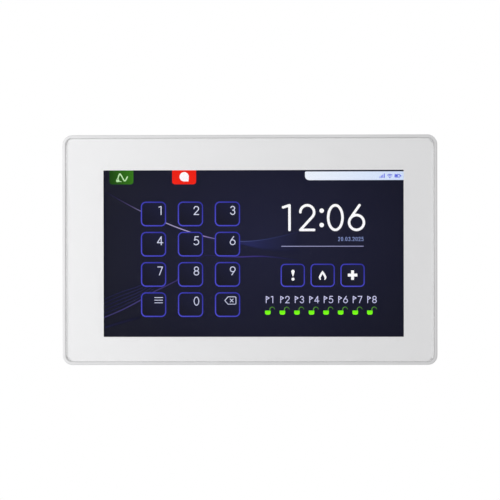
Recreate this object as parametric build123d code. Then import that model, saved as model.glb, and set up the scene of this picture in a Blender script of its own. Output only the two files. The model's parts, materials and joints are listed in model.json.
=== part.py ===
from build123d import *
import math
import os

# Touch-screen alarm keypad for a wall.
#
# Frame: the origin is the centre of the wall plate's back face, on the wall. +X is to the right of
# someone who reads the screen, +Z is up and +Y goes into the wall. Places along Y are given as depths,
# which are distances from the wall towards the reader: y = -depth. Millimetres throughout.

# Driving dimensions -------------------------------------------------------------------------------
WIDTH, HEIGHT, DEPTH = 193.5, 118.8, 22.0  # of the whole keypad on its wall
CORNER = 5.0  # radius of the outline's corners
LIP = 1.5  # width of the bezel's lip around the lens
LENS_GAP = 0.2  # open groove between lip and lens
WINDOW_W, WINDOW_H = 155.0, 86.1  # clear window in the printed mask, for a 7 inch display
WINDOW_X, WINDOW_Z = 1.95, -1.85  # the window sits off centre, right and low
DISPLAY_W, DISPLAY_H = 165.0, 100.0  # outline of the display module
DISPLAY_X, DISPLAY_Z = 1.8, -3.25  # its lower border is the wider one

# Depth stack, from the wall to the reader.
PLATE_T = 3.0  # wall plate
BACK = 3.6  # outer back face of the rear housing
FLOOR = 5.8  # inner face of the rear housing's back wall
BOARD_BACK, BOARD_FRONT = 9.0, 10.6
CARRIER_BACK, CARRIER_FRONT = 12.5, 13.3
PARTING = 13.4  # joint line between rear housing and bezel
FLANGE_BACK, FLANGE_FRONT = 18.0, 20.65  # ledge of the bezel, for a 1.1 mm lens
MODULE_BACK, MODULE_FRONT = 13.4, 19.05
TAPE_T, MASK_T = 0.15, 0.1
LENS_BACK = FLANGE_FRONT + TAPE_T + MASK_T
SENSOR_BACK = LENS_BACK - MASK_T - 0.7
LIP_FRONT = DEPTH - 0.3  # the lens stands proud of the lip

SHELL = 2.0  # wall thickness of the bezel
HOUSING_INSET = 0.2  # step between the bezel's outline and the rear housing's
HOUSING_WALL = 2.4
DRAFT = 6.0  # degrees, the rear housing narrows towards the wall
CLEAR = 0.1  # clearance around pins and sliding parts
TOUCH = 0.05  # clearance between packed sheets

# Hinge that the keypad hangs on, and the tamper plunger that follows it.
HINGE_X, HINGE_Z, HINGE_DEPTH = 48.0, 52.0, 7.5
HINGE_PIN_R, HINGE_PIN_L = 1.5, 14.0
TAMPER_X, TAMPER_Z = 20.0, 47.0
PLUNGER_R, FLANGE_R = 1.8, 3.2

# Lock at the bottom edge.
LOCK_DEPTH = 8.0
TAB_TOP, TAB_BOTTOM, TAB_FRONT = -51.0, -55.0, 11.5
LOCK_R = 1.45

# Wall plate.
PLATE_W, PLATE_TOP, PLATE_BOTTOM = 120.0, 50.5, -46.0
SCREW_X, SCREW_Z, SCREW_HOLE_R = 50.0, 32.0, 2.25
BOX_SPACING, BOX_Z = 60.3, -12.0  # slots for a round wall box
CABLE_W, CABLE_H = 46.0, 44.0

# Terminal, seen through the opening in the rear housing.
TERMINAL_X, TERMINAL_Z = -10.0, -8.0
POLES, POLE_PITCH = 4, 3.5
PLUG_BACK, PLUG_FRONT, PLUG_BOTTOM, PLUG_TOP = 2.0, 7.4, -17.0, -3.2
CAGE_BOTTOM, CAGE_TOP = -10.9, -7.7
OPENING_X, OPENING_Z, OPENING_W, OPENING_H = -4.0, -13.0, 38.0, 34.0

# Flat cables and their sockets on the board's front face.
DISPLAY_FLEX_X, DISPLAY_FLEX_W = -24.0, 20.5
TOUCH_FLEX_X, TOUCH_FLEX_W = 19.0, 8.0
SOCKET_Z = -38.0
FLEX_DEPTH = BOARD_FRONT + 0.55

# Housing screws, carrier screws and board screws, as (x, z).
HOUSING_SCREWS = [(-88.5, -52), (88.5, -52), (-88.5, 52), (88.5, 52), (-30, 52.2), (30, 52.2)]
CARRIER_SCREWS = [(-88, -30), (-88, 26), (89.5, -30), (89.5, 26)]
BOARD_SCREWS = [(-57, -38), (55, -38), (-57, 38), (55, 38)]

SPEAKER_X, SPEAKER_Z, SPEAKER_R = 76.0, -34.0, 11.5
RIM_BACK = FLOOR + 0.6  # the speaker's rim rests on its gasket
CLAMP_BACK = RIM_BACK + 0.8
LUG_BACK = RIM_BACK + 2.0
SPEAKER_LUGS = [SPEAKER_Z + 1.5, SPEAKER_Z - 1.5]  # heights of the solder lugs
SOCKET_WAYS = [-31.0, -34.0]  # heights of the two ways of the socket on the board
RESET_X, RESET_Z = 8.0, -4.0
LABEL_X, LABEL_Z, LABEL_W, LABEL_H = -77.0, -28.0, 22.0, 30.0

PARTS = {}


# Solid helpers ------------------------------------------------------------------------------------
def slab(width, height, back, front, radius=0.0, x=0.0, z=0.0):
    """A plate parallel to the wall, from one depth to another, with rounded corners."""
    outline = RectangleRounded(width, height, radius) if radius else Rectangle(width, height)
    return extrude(Plane.XZ.offset(back) * Pos(x, z) * outline, front - back)


def frame(outer, inner, back, front):
    """A flat frame: two slabs given as (width, height, radius, x, z), the second cut from the first."""
    (w1, h1, r1, x1, z1), (w2, h2, r2, x2, z2) = outer, inner
    return slab(w1, h1, back, front, r1, x1, z1) - slab(w2, h2, back - 1, front + 1, r2, x2, z2)


def peg(radius, back, front, x, z):
    """A cylinder that stands square to the wall."""
    return extrude(Plane.XZ.offset(back) * Pos(x, z) * Circle(radius), front - back)


def block(x0, x1, back, front, z0, z1):
    """A box between two values of x, two depths and two heights."""
    return slab(x1 - x0, z1 - z0, back, front, 0, (x0 + x1) / 2, (z0 + z1) / 2)


def bar(radius, x0, x1, depth, z):
    """A cylinder along X."""
    return extrude(Plane.YZ.offset(x0) * Pos(-depth, z) * Circle(radius), x1 - x0)


def post(radius, z0, z1, x, depth):
    """A cylinder along Z."""
    return extrude(Plane.XY.offset(z0) * Pos(x, -depth) * Circle(radius), z1 - z0)


def slot(length, width, back, front, x, z):
    """A slot along X that goes through from one depth to another."""
    return extrude(Plane.XZ.offset(back) * Pos(x, z) * SlotOverall(length, width), front - back)


def ribbon(thickness, width, x, points, radius):
    """A flat cable: a strip whose middle follows (depth, z) points, with rounded bends."""
    path = FilletPolyline(*[(0, -depth, z) for depth, z in points], radius=radius)
    section = Plane(path @ 0, x_dir=(1, 0, 0), z_dir=path % 0) * Rectangle(width, thickness)
    return Pos(x, 0, 0) * sweep(section, path=path)


def pan_screw(head_r, head_t, shank_r, seat, length, x, z, from_front=False):
    """A cross-head screw whose head rests at the seat's depth, driven from the back or the front."""
    head = peg(head_r, seat - head_t, seat, x, z)
    head = fillet(head.faces().sort_by(Axis.Y)[-1].edges(), head_t * 0.45)
    cross = slab(head_r * 1.2, head_r * 0.24, seat - head_t - 1, seat - head_t * 0.4, 0, x, z)
    cross += slab(head_r * 0.24, head_r * 1.2, seat - head_t - 1, seat - head_t * 0.4, 0, x, z)
    screw = head - cross + peg(shank_r, seat, seat + length, x, z)
    return mirror(screw, about=Plane.XZ.offset(seat)) if from_front else screw


def add(name, *solids):
    """Files one sub-part under its node's name."""
    PARTS[name] = solids[0] if len(solids) == 1 else Compound(children=list(solids))


# Wall plate and hinge -----------------------------------------------------------------------------
def wall_plate():
    """The plate that is screwed to the wall, with hinge lugs at the top and a lock tab below."""
    plate = slab(PLATE_W, PLATE_TOP - PLATE_BOTTOM, 0, PLATE_T, 6, 0, (PLATE_TOP + PLATE_BOTTOM) / 2)
    for side in (-1, 1):
        plate += block(side * HINGE_X - 9, side * HINGE_X + 9, 0, PLATE_T, PLATE_TOP - 6, HINGE_Z)
        lug = block(-1.5, 1.5, PLATE_T, HINGE_DEPTH, HINGE_Z - 4.5, HINGE_Z)
        lug += bar(2.1, -1.5, 1.5, HINGE_DEPTH, HINGE_Z)
        plate += Pos(side * HINGE_X, 0, 0) * lug
        plate -= bar(HINGE_PIN_R, side * HINGE_X - 2, side * HINGE_X + 2, HINGE_DEPTH, HINGE_Z)
    # Foot with the lock tab, which reaches into the keypad's bottom edge.
    plate += block(-10, 10, 0, PLATE_T, TAB_BOTTOM, PLATE_BOTTOM + 6)
    plate += block(-6, 6, PLATE_T, TAB_FRONT, TAB_BOTTOM, TAB_TOP)
    for side in (-1, 1):
        plate += block(side * 5 - 1, side * 5 + 1, PLATE_T, TAB_FRONT - 3, TAB_TOP, TAB_TOP + 1.5)
    plate -= post(LOCK_R + 0.15, TAB_BOTTOM - 1, TAB_TOP + 1, 0, LOCK_DEPTH)
    # Cable opening, countersunk wall screws and slots for a round wall box.
    plate -= slab(CABLE_W, CABLE_H, -1, PLATE_T + 1, 5, 0, BOX_Z)
    for x in (-SCREW_X, SCREW_X):
        for z in (-SCREW_Z, SCREW_Z):
            plate -= peg(SCREW_HOLE_R, -1, PLATE_T + 1, x, z)
            sink = Plane.XZ.offset(PLATE_T - 1.8) * Pos(x, z) * Circle(SCREW_HOLE_R)
            plate -= extrude(sink, 1.8, taper=-45)
    for side in (-1, 1):
        x = side * BOX_SPACING / 2
        plate -= slot(9.0, 4.2, -1, PLATE_T + 1, x, BOX_Z)
        plate -= slot(12.5, 7.7, PLATE_T - 1.4, PLATE_T + 1, x, BOX_Z)
    # Shallow pockets on the wall side, with ribs between them.
    for x in (-33, -11, 11, 33):
        for z, height in ((35, 11), (21, 11), (-40, 6)):
            plate -= slab(18, height, -1, 1.0, 1.5, x, z)
    # Break-out marks for surface wiring, scored into the lower edge.
    for x in (-30.0, 30.0):
        plate -= block(x - 5, x + 5, 2.4, PLATE_T + 1, PLATE_BOTTOM + 5.0, PLATE_BOTTOM + 5.6)
    return plate


def hinge_pins():
    """Two steel pins, pressed across the lugs."""
    pins = []
    for side in (-1, 1):
        x = side * HINGE_X
        pin = bar(HINGE_PIN_R, x - HINGE_PIN_L / 2, x + HINGE_PIN_L / 2, HINGE_DEPTH, HINGE_Z)
        pins.append(chamfer(pin.edges().filter_by(GeomType.CIRCLE), 0.25))
    return pins


def rattle_pads():
    """Rubber pads on the plate that stop the keypad buzzing against it."""
    spots = [(-54, 18), (54, 18), (-54, -14), (54, -14)]
    return [peg(3.5, PLATE_T, BACK - 0.1, x, z) for x, z in spots]


# Rear housing -------------------------------------------------------------------------------------
def housing_shell():
    """The tray without its openings: drafted sides, a rounded back edge and a tongue at the joint."""
    width, height = WIDTH - 2 * HOUSING_INSET, HEIGHT - 2 * HOUSING_INSET
    rim = Plane.XZ.offset(PARTING) * RectangleRounded(width, height, CORNER - HOUSING_INSET)
    outer = extrude(rim, PARTING - BACK, dir=(0, 1, 0), taper=DRAFT)
    outer = fillet(outer.faces().sort_by(Axis.Y)[-1].edges(), 2.0)
    hollow = Plane.XZ.offset(PARTING) * RectangleRounded(
        width - 2 * HOUSING_WALL, height - 2 * HOUSING_WALL, CORNER - HOUSING_WALL
    )
    shell = outer - extrude(hollow, PARTING - FLOOR, dir=(0, 1, 0), taper=DRAFT)
    reach = 2 * (SHELL + TOUCH * 2)
    tongue = frame(
        (WIDTH - reach, HEIGHT - reach, CORNER - SHELL, 0, 0),
        (WIDTH - reach - 2.8, HEIGHT - reach - 2.8, CORNER - SHELL - 1.4, 0, 0),
        PARTING - 2.5,
        PARTING + 1.4,
    )
    # Below the joint the tongue stays inside the drafted wall.
    return shell + tongue


def rear_housing():
    """The rear shell, with everything that is cut into it or stands inside it."""
    body = housing_shell()
    for x, z in HOUSING_SCREWS:
        body += peg(3.6, FLOOR - 0.5, PARTING - 0.1, x, z)
    for x, z in HOUSING_SCREWS:
        body -= peg(2.7, BACK - 1, 8.0, x, z)
        body -= peg(1.3, 7, PARTING + 1, x, z)
    for side in (-1, 1):
        x = side * HINGE_X
        # Claws that hang on the pin, open downwards.
        for off in (-4.5, 4.5):
            body += block(x + off - 2.1, x + off + 2.1, FLOOR - 0.2, 10.6, HINGE_Z - 2.2, HINGE_Z + 3.8)
        notch = bar(HINGE_PIN_R + CLEAR, x - 8, x + 8, HINGE_DEPTH, HINGE_Z)
        low, high = HINGE_DEPTH - HINGE_PIN_R - CLEAR, HINGE_DEPTH + HINGE_PIN_R + CLEAR
        body -= notch + block(x - 8, x + 8, low, high, HINGE_Z - 4, HINGE_Z)
        # Wide mouth for the pin, narrow slot for the lug.
        body -= block(x - 8, x + 8, BACK - 1, FLOOR + 1, HINGE_Z - 7.6, HINGE_Z - 2.4)
        body -= block(x - 2.2, x + 2.2, BACK - 1, FLOOR + 1, HINGE_Z - 3, HINGE_Z + 4.2)
    # Tamper plunger: guide hole, with a pocket inside for its flange.
    body -= peg(PLUNGER_R + 2 * CLEAR, BACK - 1, FLOOR + 1, TAMPER_X, TAMPER_Z)
    body -= peg(FLANGE_R + 0.5, FLOOR - 0.8, FLOOR + 1, TAMPER_X, TAMPER_Z)
    # Mouth for the lock tab, and the boss for the lock screw's insert.
    body -= block(-7.5, 7.5, BACK - 1, FLOOR + 1, -55.9, TAB_TOP + 3.5)
    body += post(3.4, -57.5, -55.7, 0, LOCK_DEPTH)
    body -= post(2.4, -60, -54, 0, LOCK_DEPTH)
    # Terminal opening, with a low collar round it.
    body += frame(
        (OPENING_W + 3, OPENING_H + 3, 2.5, OPENING_X, OPENING_Z),
        (OPENING_W, OPENING_H, 2, OPENING_X, OPENING_Z),
        FLOOR - 0.2,
        BOARD_BACK - 0.2,
    )
    body -= slab(OPENING_W, OPENING_H, BACK - 1, BOARD_BACK, 2, OPENING_X, OPENING_Z)
    # Speaker seat and slots.
    body += peg(SPEAKER_R + 2.0, FLOOR - 0.2, CLAMP_BACK - TOUCH, SPEAKER_X, SPEAKER_Z)
    body -= peg(SPEAKER_R + 0.3, FLOOR, FLOOR + 3, SPEAKER_X, SPEAKER_Z)
    for i in range(-3, 4):
        reach = 2 * math.sqrt(9.0**2 - (2.6 * i) ** 2)
        body -= slot(reach, 1.2, BACK - 1, FLOOR + 1, SPEAKER_X, SPEAKER_Z + 2.6 * i)
    for x, z in speaker_screw_places():
        body += peg(2.2, FLOOR - 0.2, CLAMP_BACK, x, z)
        body -= peg(0.8, BACK + 0.9, CLAMP_BACK + 1, x, z)
    # Vents either side.
    for side in (-1, 1):
        for i in range(7):
            body -= slot(20, 1.6, BACK - 1, FLOOR + 1, side * 77, 8 + 4.2 * i)
    # Recess for the label.
    body -= slab(LABEL_W + 0.4, LABEL_H + 0.4, BACK - 1, BACK + 0.2, 1.2, LABEL_X, LABEL_Z)
    # Stiffening ribs on the floor, between the board and the ends.
    for side in (-1, 1):
        body += block(side * 64 - 0.6, side * 64 + 0.6, FLOOR - 0.2, FLOOR + 1.6, -12, 44)
    return body


def speaker_screw_places():
    """The two ears of the speaker's clamp, as (x, z)."""
    reach = (SPEAKER_R + 3.8) * math.sqrt(0.5)
    return [(SPEAKER_X - reach, SPEAKER_Z + reach), (SPEAKER_X + reach, SPEAKER_Z - reach)]


def housing_screws():
    """Six screws that close the two shells."""
    return [pan_screw(2.4, 1.8, 1.25, 8.0, 8.6, x, z) for x, z in HOUSING_SCREWS]


def lock_insert():
    """Threaded brass insert in the bottom wall, for the lock screw."""
    insert = post(2.4, -58.2, -55.7, 0, LOCK_DEPTH)
    return insert - post(LOCK_R + 0.05, -60, -54, 0, LOCK_DEPTH)


def lock_screw():
    """Socket set screw. Turned in, it rises into the tab's hole and holds the keypad shut."""
    screw = post(LOCK_R, -58.2, -55.2, 0, LOCK_DEPTH)
    screw = chamfer(screw.faces().sort_by(Axis.Z)[-1].edges(), 0.35)
    socket = Plane.XY.offset(-58.2) * Pos(0, -LOCK_DEPTH) * RegularPolygon(0.87, 6)
    return screw - extrude(socket, 1.4)


# Bezel, lens and touch sensor ---------------------------------------------------------------------
def lens_size(margin=0.0):
    """Width, height and corner radius of the lens, drawn in by a margin."""
    inset = 2 * (LIP + LENS_GAP + margin)
    return WIDTH - inset, HEIGHT - inset, max(CORNER - inset / 2, 0.6)


def front_bezel():
    """The front shell: lip, ledge for the lens, side walls and screw bosses."""
    body = slab(WIDTH, HEIGHT, PARTING, LIP_FRONT, CORNER)
    body = fillet(body.faces().sort_by(Axis.Y)[0].edges(), 0.7)
    body -= slab(WIDTH - 2 * LIP, HEIGHT - 2 * LIP, FLANGE_FRONT, DEPTH, CORNER - LIP)
    inner_w, inner_h = WIDTH - 2 * SHELL, HEIGHT - 2 * SHELL
    body -= slab(inner_w, inner_h, PARTING - 1, FLANGE_BACK, CORNER - SHELL)
    body -= slab(DISPLAY_W + 2, DISPLAY_H + 2, PARTING - 1, DEPTH, 1.5, DISPLAY_X, DISPLAY_Z)
    for x, z in HOUSING_SCREWS:
        body += peg(3.2, PARTING, FLANGE_BACK + 0.5, x, z)
    for x, z in CARRIER_SCREWS:
        body += peg(2.6, CARRIER_FRONT, FLANGE_BACK + 0.5, x, z)
    body -= slab(DISPLAY_W + 1.2, DISPLAY_H + 1.2, PARTING - 1, FLANGE_BACK, 0, DISPLAY_X, DISPLAY_Z)
    for x, z in HOUSING_SCREWS:
        body -= peg(1.25, PARTING - 1, FLANGE_BACK + 0.2, x, z)
    for x, z in CARRIER_SCREWS:
        body -= peg(1.0, CARRIER_FRONT - 1, FLANGE_BACK - 0.5, x, z)
    return body


def cover_lens():
    """Front glass with ground, rounded edges."""
    width, height, radius = lens_size()
    lens = slab(width, height, LENS_BACK, DEPTH, radius)
    return fillet(lens.faces().sort_by(Axis.Y)[0].edges(), 0.45)


def border_mask():
    """White printed film behind the glass, with the clear window."""
    return frame(
        (*lens_size(0.15), 0, 0),
        (WINDOW_W, WINDOW_H, 0.3, WINDOW_X, WINDOW_Z),
        LENS_BACK - MASK_T,
        LENS_BACK,
    )


def lens_tape():
    """Ring of double-sided tape that holds the lens on the bezel's ledge."""
    return frame(
        (*lens_size(1.0), 0, 0),
        (DISPLAY_W + 4, DISPLAY_H + 4, 2, DISPLAY_X, DISPLAY_Z),
        FLANGE_FRONT,
        FLANGE_FRONT + TAPE_T,
    )


def touch_sensor():
    """Clear capacitive sensor behind the mask."""
    return slab(DISPLAY_W - 2, DISPLAY_H - 2, SENSOR_BACK, LENS_BACK - MASK_T, 0.8, DISPLAY_X, DISPLAY_Z)


# Display module -----------------------------------------------------------------------------------
def display_frame():
    """Pressed-steel front frame of the display, with a turned-down skirt."""
    sheet = 0.3
    body = slab(DISPLAY_W, DISPLAY_H, MODULE_BACK + 1.0, MODULE_FRONT, 0.6, DISPLAY_X, DISPLAY_Z)
    body -= slab(
        DISPLAY_W - 2 * sheet, DISPLAY_H - 2 * sheet, 0, MODULE_FRONT - sheet, 0.4, DISPLAY_X, DISPLAY_Z
    )
    body -= slab(WINDOW_W + 1.6, WINDOW_H + 1.6, 0, DEPTH, 0.5, WINDOW_X, WINDOW_Z)
    bottom = DISPLAY_Z - DISPLAY_H / 2
    for x, width in ((DISPLAY_FLEX_X, DISPLAY_FLEX_W), (TOUCH_FLEX_X, TOUCH_FLEX_W)):
        gap = width / 2 + 1
        body -= block(x - gap, x + gap, 0, MODULE_FRONT - 0.5, bottom - 1, bottom + 1)
    return body


def display_gasket():
    """Foam ring between the display and the touch sensor."""
    ring = frame(
        (DISPLAY_W - 1.5, DISPLAY_H - 1.5, 0.8, DISPLAY_X, DISPLAY_Z),
        (WINDOW_W + 2.4, WINDOW_H + 2.4, 0.5, WINDOW_X, WINDOW_Z),
        MODULE_FRONT,
        SENSOR_BACK,
    )
    gap, bottom = TOUCH_FLEX_W / 2 + 0.5, DISPLAY_Z - DISPLAY_H / 2
    return ring - block(TOUCH_FLEX_X - gap, TOUCH_FLEX_X + gap, 0, DEPTH, bottom - 1, bottom + 3.6)


def display_cell():
    """The liquid-crystal cell: a front glass on a taller rear one, whose ledge takes the flex."""
    front = MODULE_FRONT - 0.35
    cell = slab(161.4, 96.6, front - 1.1, front - 0.5, 0, DISPLAY_X, DISPLAY_Z)
    return cell + slab(161.4, 91.0, front - 0.5, front, 0, DISPLAY_X, DISPLAY_Z + 2.8)


def light_sheets():
    """Diffuser and prism films, a stack treated as one."""
    front = MODULE_FRONT - 0.35 - 1.1 - TOUCH
    return slab(160.4, 93.0, front - 0.4, front, 0.5, DISPLAY_X, DISPLAY_Z + 1.6)


def light_guide():
    """Acrylic plate that spreads the light of the strip along its lower edge."""
    front = MODULE_FRONT - 0.35 - 1.1 - 0.4 - 2 * TOUCH
    return slab(160.4, 92.0, front - 2.0, front, 0.5, DISPLAY_X, DISPLAY_Z + 1.6)


def reflector_sheet():
    """White film behind the light guide."""
    front = MODULE_FRONT - 0.35 - 1.1 - 0.4 - 2.0 - 3 * TOUCH
    return slab(160.4, 95.0, front - 0.2, front, 0.5, DISPLAY_X, DISPLAY_Z)


def backlight_tray():
    """Steel pan that closes the back of the display."""
    sheet = 0.4
    width, height = DISPLAY_W - 1.0, DISPLAY_H - 1.0
    pan = slab(width, height, MODULE_BACK, 17.2, 0.6, DISPLAY_X, DISPLAY_Z)
    hollow = slab(width - 2 * sheet, height - 2 * sheet, MODULE_BACK + sheet, 18, 0.3, DISPLAY_X, DISPLAY_Z)
    for x in (-60, -20, 20, 60):  # pressed feet that the reflector rests on
        hollow -= slab(30, 84, MODULE_BACK, MODULE_BACK + 0.9, 1, x + DISPLAY_X, DISPLAY_Z)
    return pan - hollow


def display_flex():
    """Flat cable from the cell's ledge, round the lower edge, to its socket on the board."""
    ledge, low = MODULE_FRONT - 0.85 + 0.06, DISPLAY_Z - DISPLAY_H / 2 - 0.65
    route = [(ledge, low + 6.7), (ledge, low), (FLEX_DEPTH, low), (FLEX_DEPTH, SOCKET_Z + 1.8)]
    return ribbon(0.1, DISPLAY_FLEX_W, DISPLAY_FLEX_X, route, [0.7, 2.5])


def touch_flex():
    """Flat cable from the back of the touch sensor, round the lower edge, to its socket."""
    tail, low = SENSOR_BACK - 0.06, DISPLAY_Z - DISPLAY_H / 2 - 0.7
    route = [(tail, low + 3.8), (tail, low), (FLEX_DEPTH, low), (FLEX_DEPTH, SOCKET_Z + 1.8)]
    return ribbon(0.1, TOUCH_FLEX_W, TOUCH_FLEX_X, route, [0.6, 2.5])


def led_strip():
    """Flexible strip with a row of light sources, below the light guide."""
    low = DISPLAY_Z - DISPLAY_H / 2 + 1.4
    strip = block(DISPLAY_X - 78, DISPLAY_X + 78, 15.1, 17.1, low, low + 0.4)
    for i in range(18):
        x = DISPLAY_X + 8.8 * (i - 8.5)
        strip += block(x - 1.5, x + 1.5, 15.5, 16.7, low + 0.4, low + 1.4)
    return strip


def display_carrier():
    """Steel plate that ties the display and the board to the bezel, with ears and pressed ribs."""
    plate = slab(168, 98, CARRIER_BACK, CARRIER_FRONT, 3, DISPLAY_X - 1, DISPLAY_Z + 1.6)
    for x, z in CARRIER_SCREWS:
        plate += slab(11, 9, CARRIER_BACK, CARRIER_FRONT, 2.5, x - math.copysign(2.7, x), z)
    for x, z in CARRIER_SCREWS:
        plate -= peg(1.2, CARRIER_BACK - 1, CARRIER_FRONT + 1, x, z)
    for x, z in BOARD_SCREWS:
        plate -= peg(1.6, CARRIER_BACK - 1, CARRIER_FRONT + 1, x, z)
    for x in (-40, 0, 40):
        plate -= slab(26, 60, CARRIER_BACK - 1, CARRIER_FRONT + 1, 5, x, 0)
    return plate


def carrier_screws():
    """Four screws that hold the carrier on the bezel's posts."""
    return [pan_screw(2.0, 1.2, 0.95, CARRIER_BACK, 4.5, x, z) for x, z in CARRIER_SCREWS]


def board_standoffs():
    """Four tapped spacers, riveted into the carrier."""
    spacers = []
    for x, z in BOARD_SCREWS:
        spacer = peg(2.3, BOARD_FRONT, CARRIER_BACK, x, z) + peg(1.6, CARRIER_BACK, CARRIER_FRONT, x, z)
        spacers.append(spacer - peg(1.05, BOARD_FRONT - 1, CARRIER_FRONT - 0.3, x, z))
    return spacers


# Main board ---------------------------------------------------------------------------------------
def main_board():
    """The printed circuit board, with a tongue under the tamper plunger."""
    board = slab(122, 84, BOARD_BACK, BOARD_FRONT, 2, -1, -1)
    board += slab(12, 15, BOARD_BACK, BOARD_FRONT, 2, TAMPER_X, 43.0)
    for x, z in BOARD_SCREWS:
        board -= peg(1.2, BOARD_BACK - 1, BOARD_FRONT + 1, x, z)
    return board


def board_screws():
    """Four screws through the board into the standoffs."""
    return [pan_screw(2.0, 1.2, 1.0, BOARD_BACK, 3.0, x, z) for x, z in BOARD_SCREWS]


def chip(size_x, size_z, height, x, z):
    """A flat package on the board's back face, with a pin-one dimple."""
    top = BOARD_BACK - height
    dimple = peg(0.45, top - 1, top + 0.15, x - size_x / 2 + 1.2, z + size_z / 2 - 1.2)
    return slab(size_x, size_z, top, BOARD_BACK, 0.15, x, z) - dimple


def legs(count, pitch, span, x, z):
    """Two rows of gull-wing legs beside a chip, as separate solids."""
    rows = []
    for i in range(count):
        leg_x = x + (i - (count - 1) / 2) * pitch
        for leg_z in (z - span, z + span):
            leg = block(leg_x - 0.2, leg_x + 0.2, BOARD_BACK - 0.5, BOARD_BACK, leg_z - 0.5, leg_z + 0.5)
            rows.append(leg)
    return rows


def shield_can(x, z):
    """Tinned lid over the radio section, with rows of vent holes."""
    lid = slab(24, 18, BOARD_BACK - 2.4, BOARD_BACK, 1.0, x, z)
    lid -= slab(23.4, 17.4, BOARD_BACK - 2.1, BOARD_BACK + 1, 0.7, x, z)
    for i in range(-3, 4):
        lid -= peg(0.6, 0, DEPTH, x + 3 * i, z + 6)
    return lid


def capacitor(x, z, radius=2.0, height=2.7):
    """A surface-mount can on its square base."""
    can = peg(radius, BOARD_BACK - height, BOARD_BACK - 0.5, x, z)
    can = fillet(can.faces().sort_by(Axis.Y)[-1].edges(), 0.3)
    return can + slab(2 * radius + 0.4, 2 * radius + 0.4, BOARD_BACK - 0.5, BOARD_BACK, 0.3, x, z)


def inductor(x, z, size=5.0, height=2.4):
    """A moulded power inductor."""
    body = slab(size, size, BOARD_BACK - height, BOARD_BACK, 0.8, x, z)
    return chamfer(body.faces().sort_by(Axis.Y)[-1].edges(), 0.3)


def flex_socket(flex_width, x):
    """A flat-cable socket on the board's front face, open downwards."""
    half = flex_width / 2 + 1.5
    body = block(x - half, x + half, BOARD_FRONT, BOARD_FRONT + 1.3, SOCKET_Z, SOCKET_Z + 4.5)
    low, high = FLEX_DEPTH - 0.15, FLEX_DEPTH + 0.15
    return body - block(x - half + 1.3, x + half - 1.3, low, high, SOCKET_Z - 1, SOCKET_Z + 2.5)


def terminal_poles():
    """The x of each pole of the terminal."""
    return [TERMINAL_X + POLE_PITCH * (i - (POLES - 1) / 2) for i in range(POLES)]


def terminal_header():
    """Shrouded header on the board. The plug enters it from below."""
    half = POLES * POLE_PITCH / 2 + 1.6
    body = block(TERMINAL_X - half, TERMINAL_X + half, 1.4, BOARD_BACK, TERMINAL_Z, TERMINAL_Z + 8.5)
    body -= block(TERMINAL_X - half + 1, TERMINAL_X + half - 1, 1.8, 7.8, TERMINAL_Z - 1, TERMINAL_Z + 6.5)
    body -= block(TERMINAL_X - 3, TERMINAL_X + 3, 0, 3, TERMINAL_Z - 1, TERMINAL_Z + 3)
    for x in terminal_poles():
        body -= block(x - 0.5, x + 0.5, 4.2, 5.2, TERMINAL_Z + 5, TERMINAL_Z + 9)
    return body


def terminal_pins():
    """Bent square pins that carry the bus wires to the board."""
    pins = []
    for x in terminal_poles():
        pin = block(x - 0.5, x + 0.5, 4.2, 5.2, CAGE_TOP - 1.8, TERMINAL_Z + 9.9)
        pins.append(pin + block(x - 0.5, x + 0.5, 4.2, BOARD_BACK, TERMINAL_Z + 8.9, TERMINAL_Z + 9.9))
    return pins


def terminal_plug():
    """Plug with a wire funnel per pole below, a pin socket above and seats for the release buttons."""
    half = POLES * POLE_PITCH / 2 + 0.4
    body = block(TERMINAL_X - half, TERMINAL_X + half, PLUG_BACK, PLUG_FRONT, PLUG_BOTTOM, PLUG_TOP)
    body = chamfer(body.edges().filter_by(Axis.Y), 0.4)
    for x in terminal_poles():
        body -= block(x - 0.65, x + 0.65, 4.05, 5.35, CAGE_TOP, PLUG_TOP + 1)
        body -= block(x - 1.25, x + 1.25, 3.6, 6.2, CAGE_BOTTOM - 0.05, CAGE_TOP + 0.05)
        funnel = Plane.XY.offset(PLUG_BOTTOM) * Pos(x, -4.9) * Circle(1.35)
        body -= extrude(funnel, 1.2, dir=(0, 0, 1), taper=18) + post(0.95, PLUG_BOTTOM, CAGE_BOTTOM, x, 4.9)
        body -= block(x - 1.2, x + 1.2, 0, 4.0, -15.0, -11.4)
    return body


def terminal_clamps():
    """Spring-steel cages inside the plug, one per pole."""
    cages = []
    for x in terminal_poles():
        cage = block(x - 1.2, x + 1.2, 3.7, 6.1, CAGE_BOTTOM, CAGE_TOP)
        cages.append(cage - block(x - 0.85, x + 0.85, 4.05, 5.75, CAGE_BOTTOM - 1, CAGE_TOP + 1))
    return cages


def release_button(x):
    """Push button that opens one pole's clamp, with a screwdriver slot."""
    button = block(x - 1.1, x + 1.1, PLUG_BACK - 0.5, 3.1, -14.9, -11.5)
    return button - block(x - 0.8, x + 0.8, 0, PLUG_BACK - 0.1, -13.45, -12.95)


def tamper_switch():
    """Dome switch on the board, under the plunger."""
    body = slab(4.2, 4.2, BOARD_BACK - 0.9, BOARD_BACK, 0.3, TAMPER_X, TAMPER_Z)
    return body + peg(1.0, BOARD_BACK - 1.25, BOARD_BACK - 0.9, TAMPER_X, TAMPER_Z)


def tamper_plunger():
    """Round-nosed pin that the wall plate holds in while the keypad is shut."""
    nose = PLATE_T + 0.02
    rod = peg(PLUNGER_R, nose + PLUNGER_R, 6.8, TAMPER_X, TAMPER_Z)
    rod += Pos(TAMPER_X, -(nose + PLUNGER_R), TAMPER_Z) * Sphere(PLUNGER_R)
    return rod + peg(FLANGE_R, 6.8, 7.7, TAMPER_X, TAMPER_Z)


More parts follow.
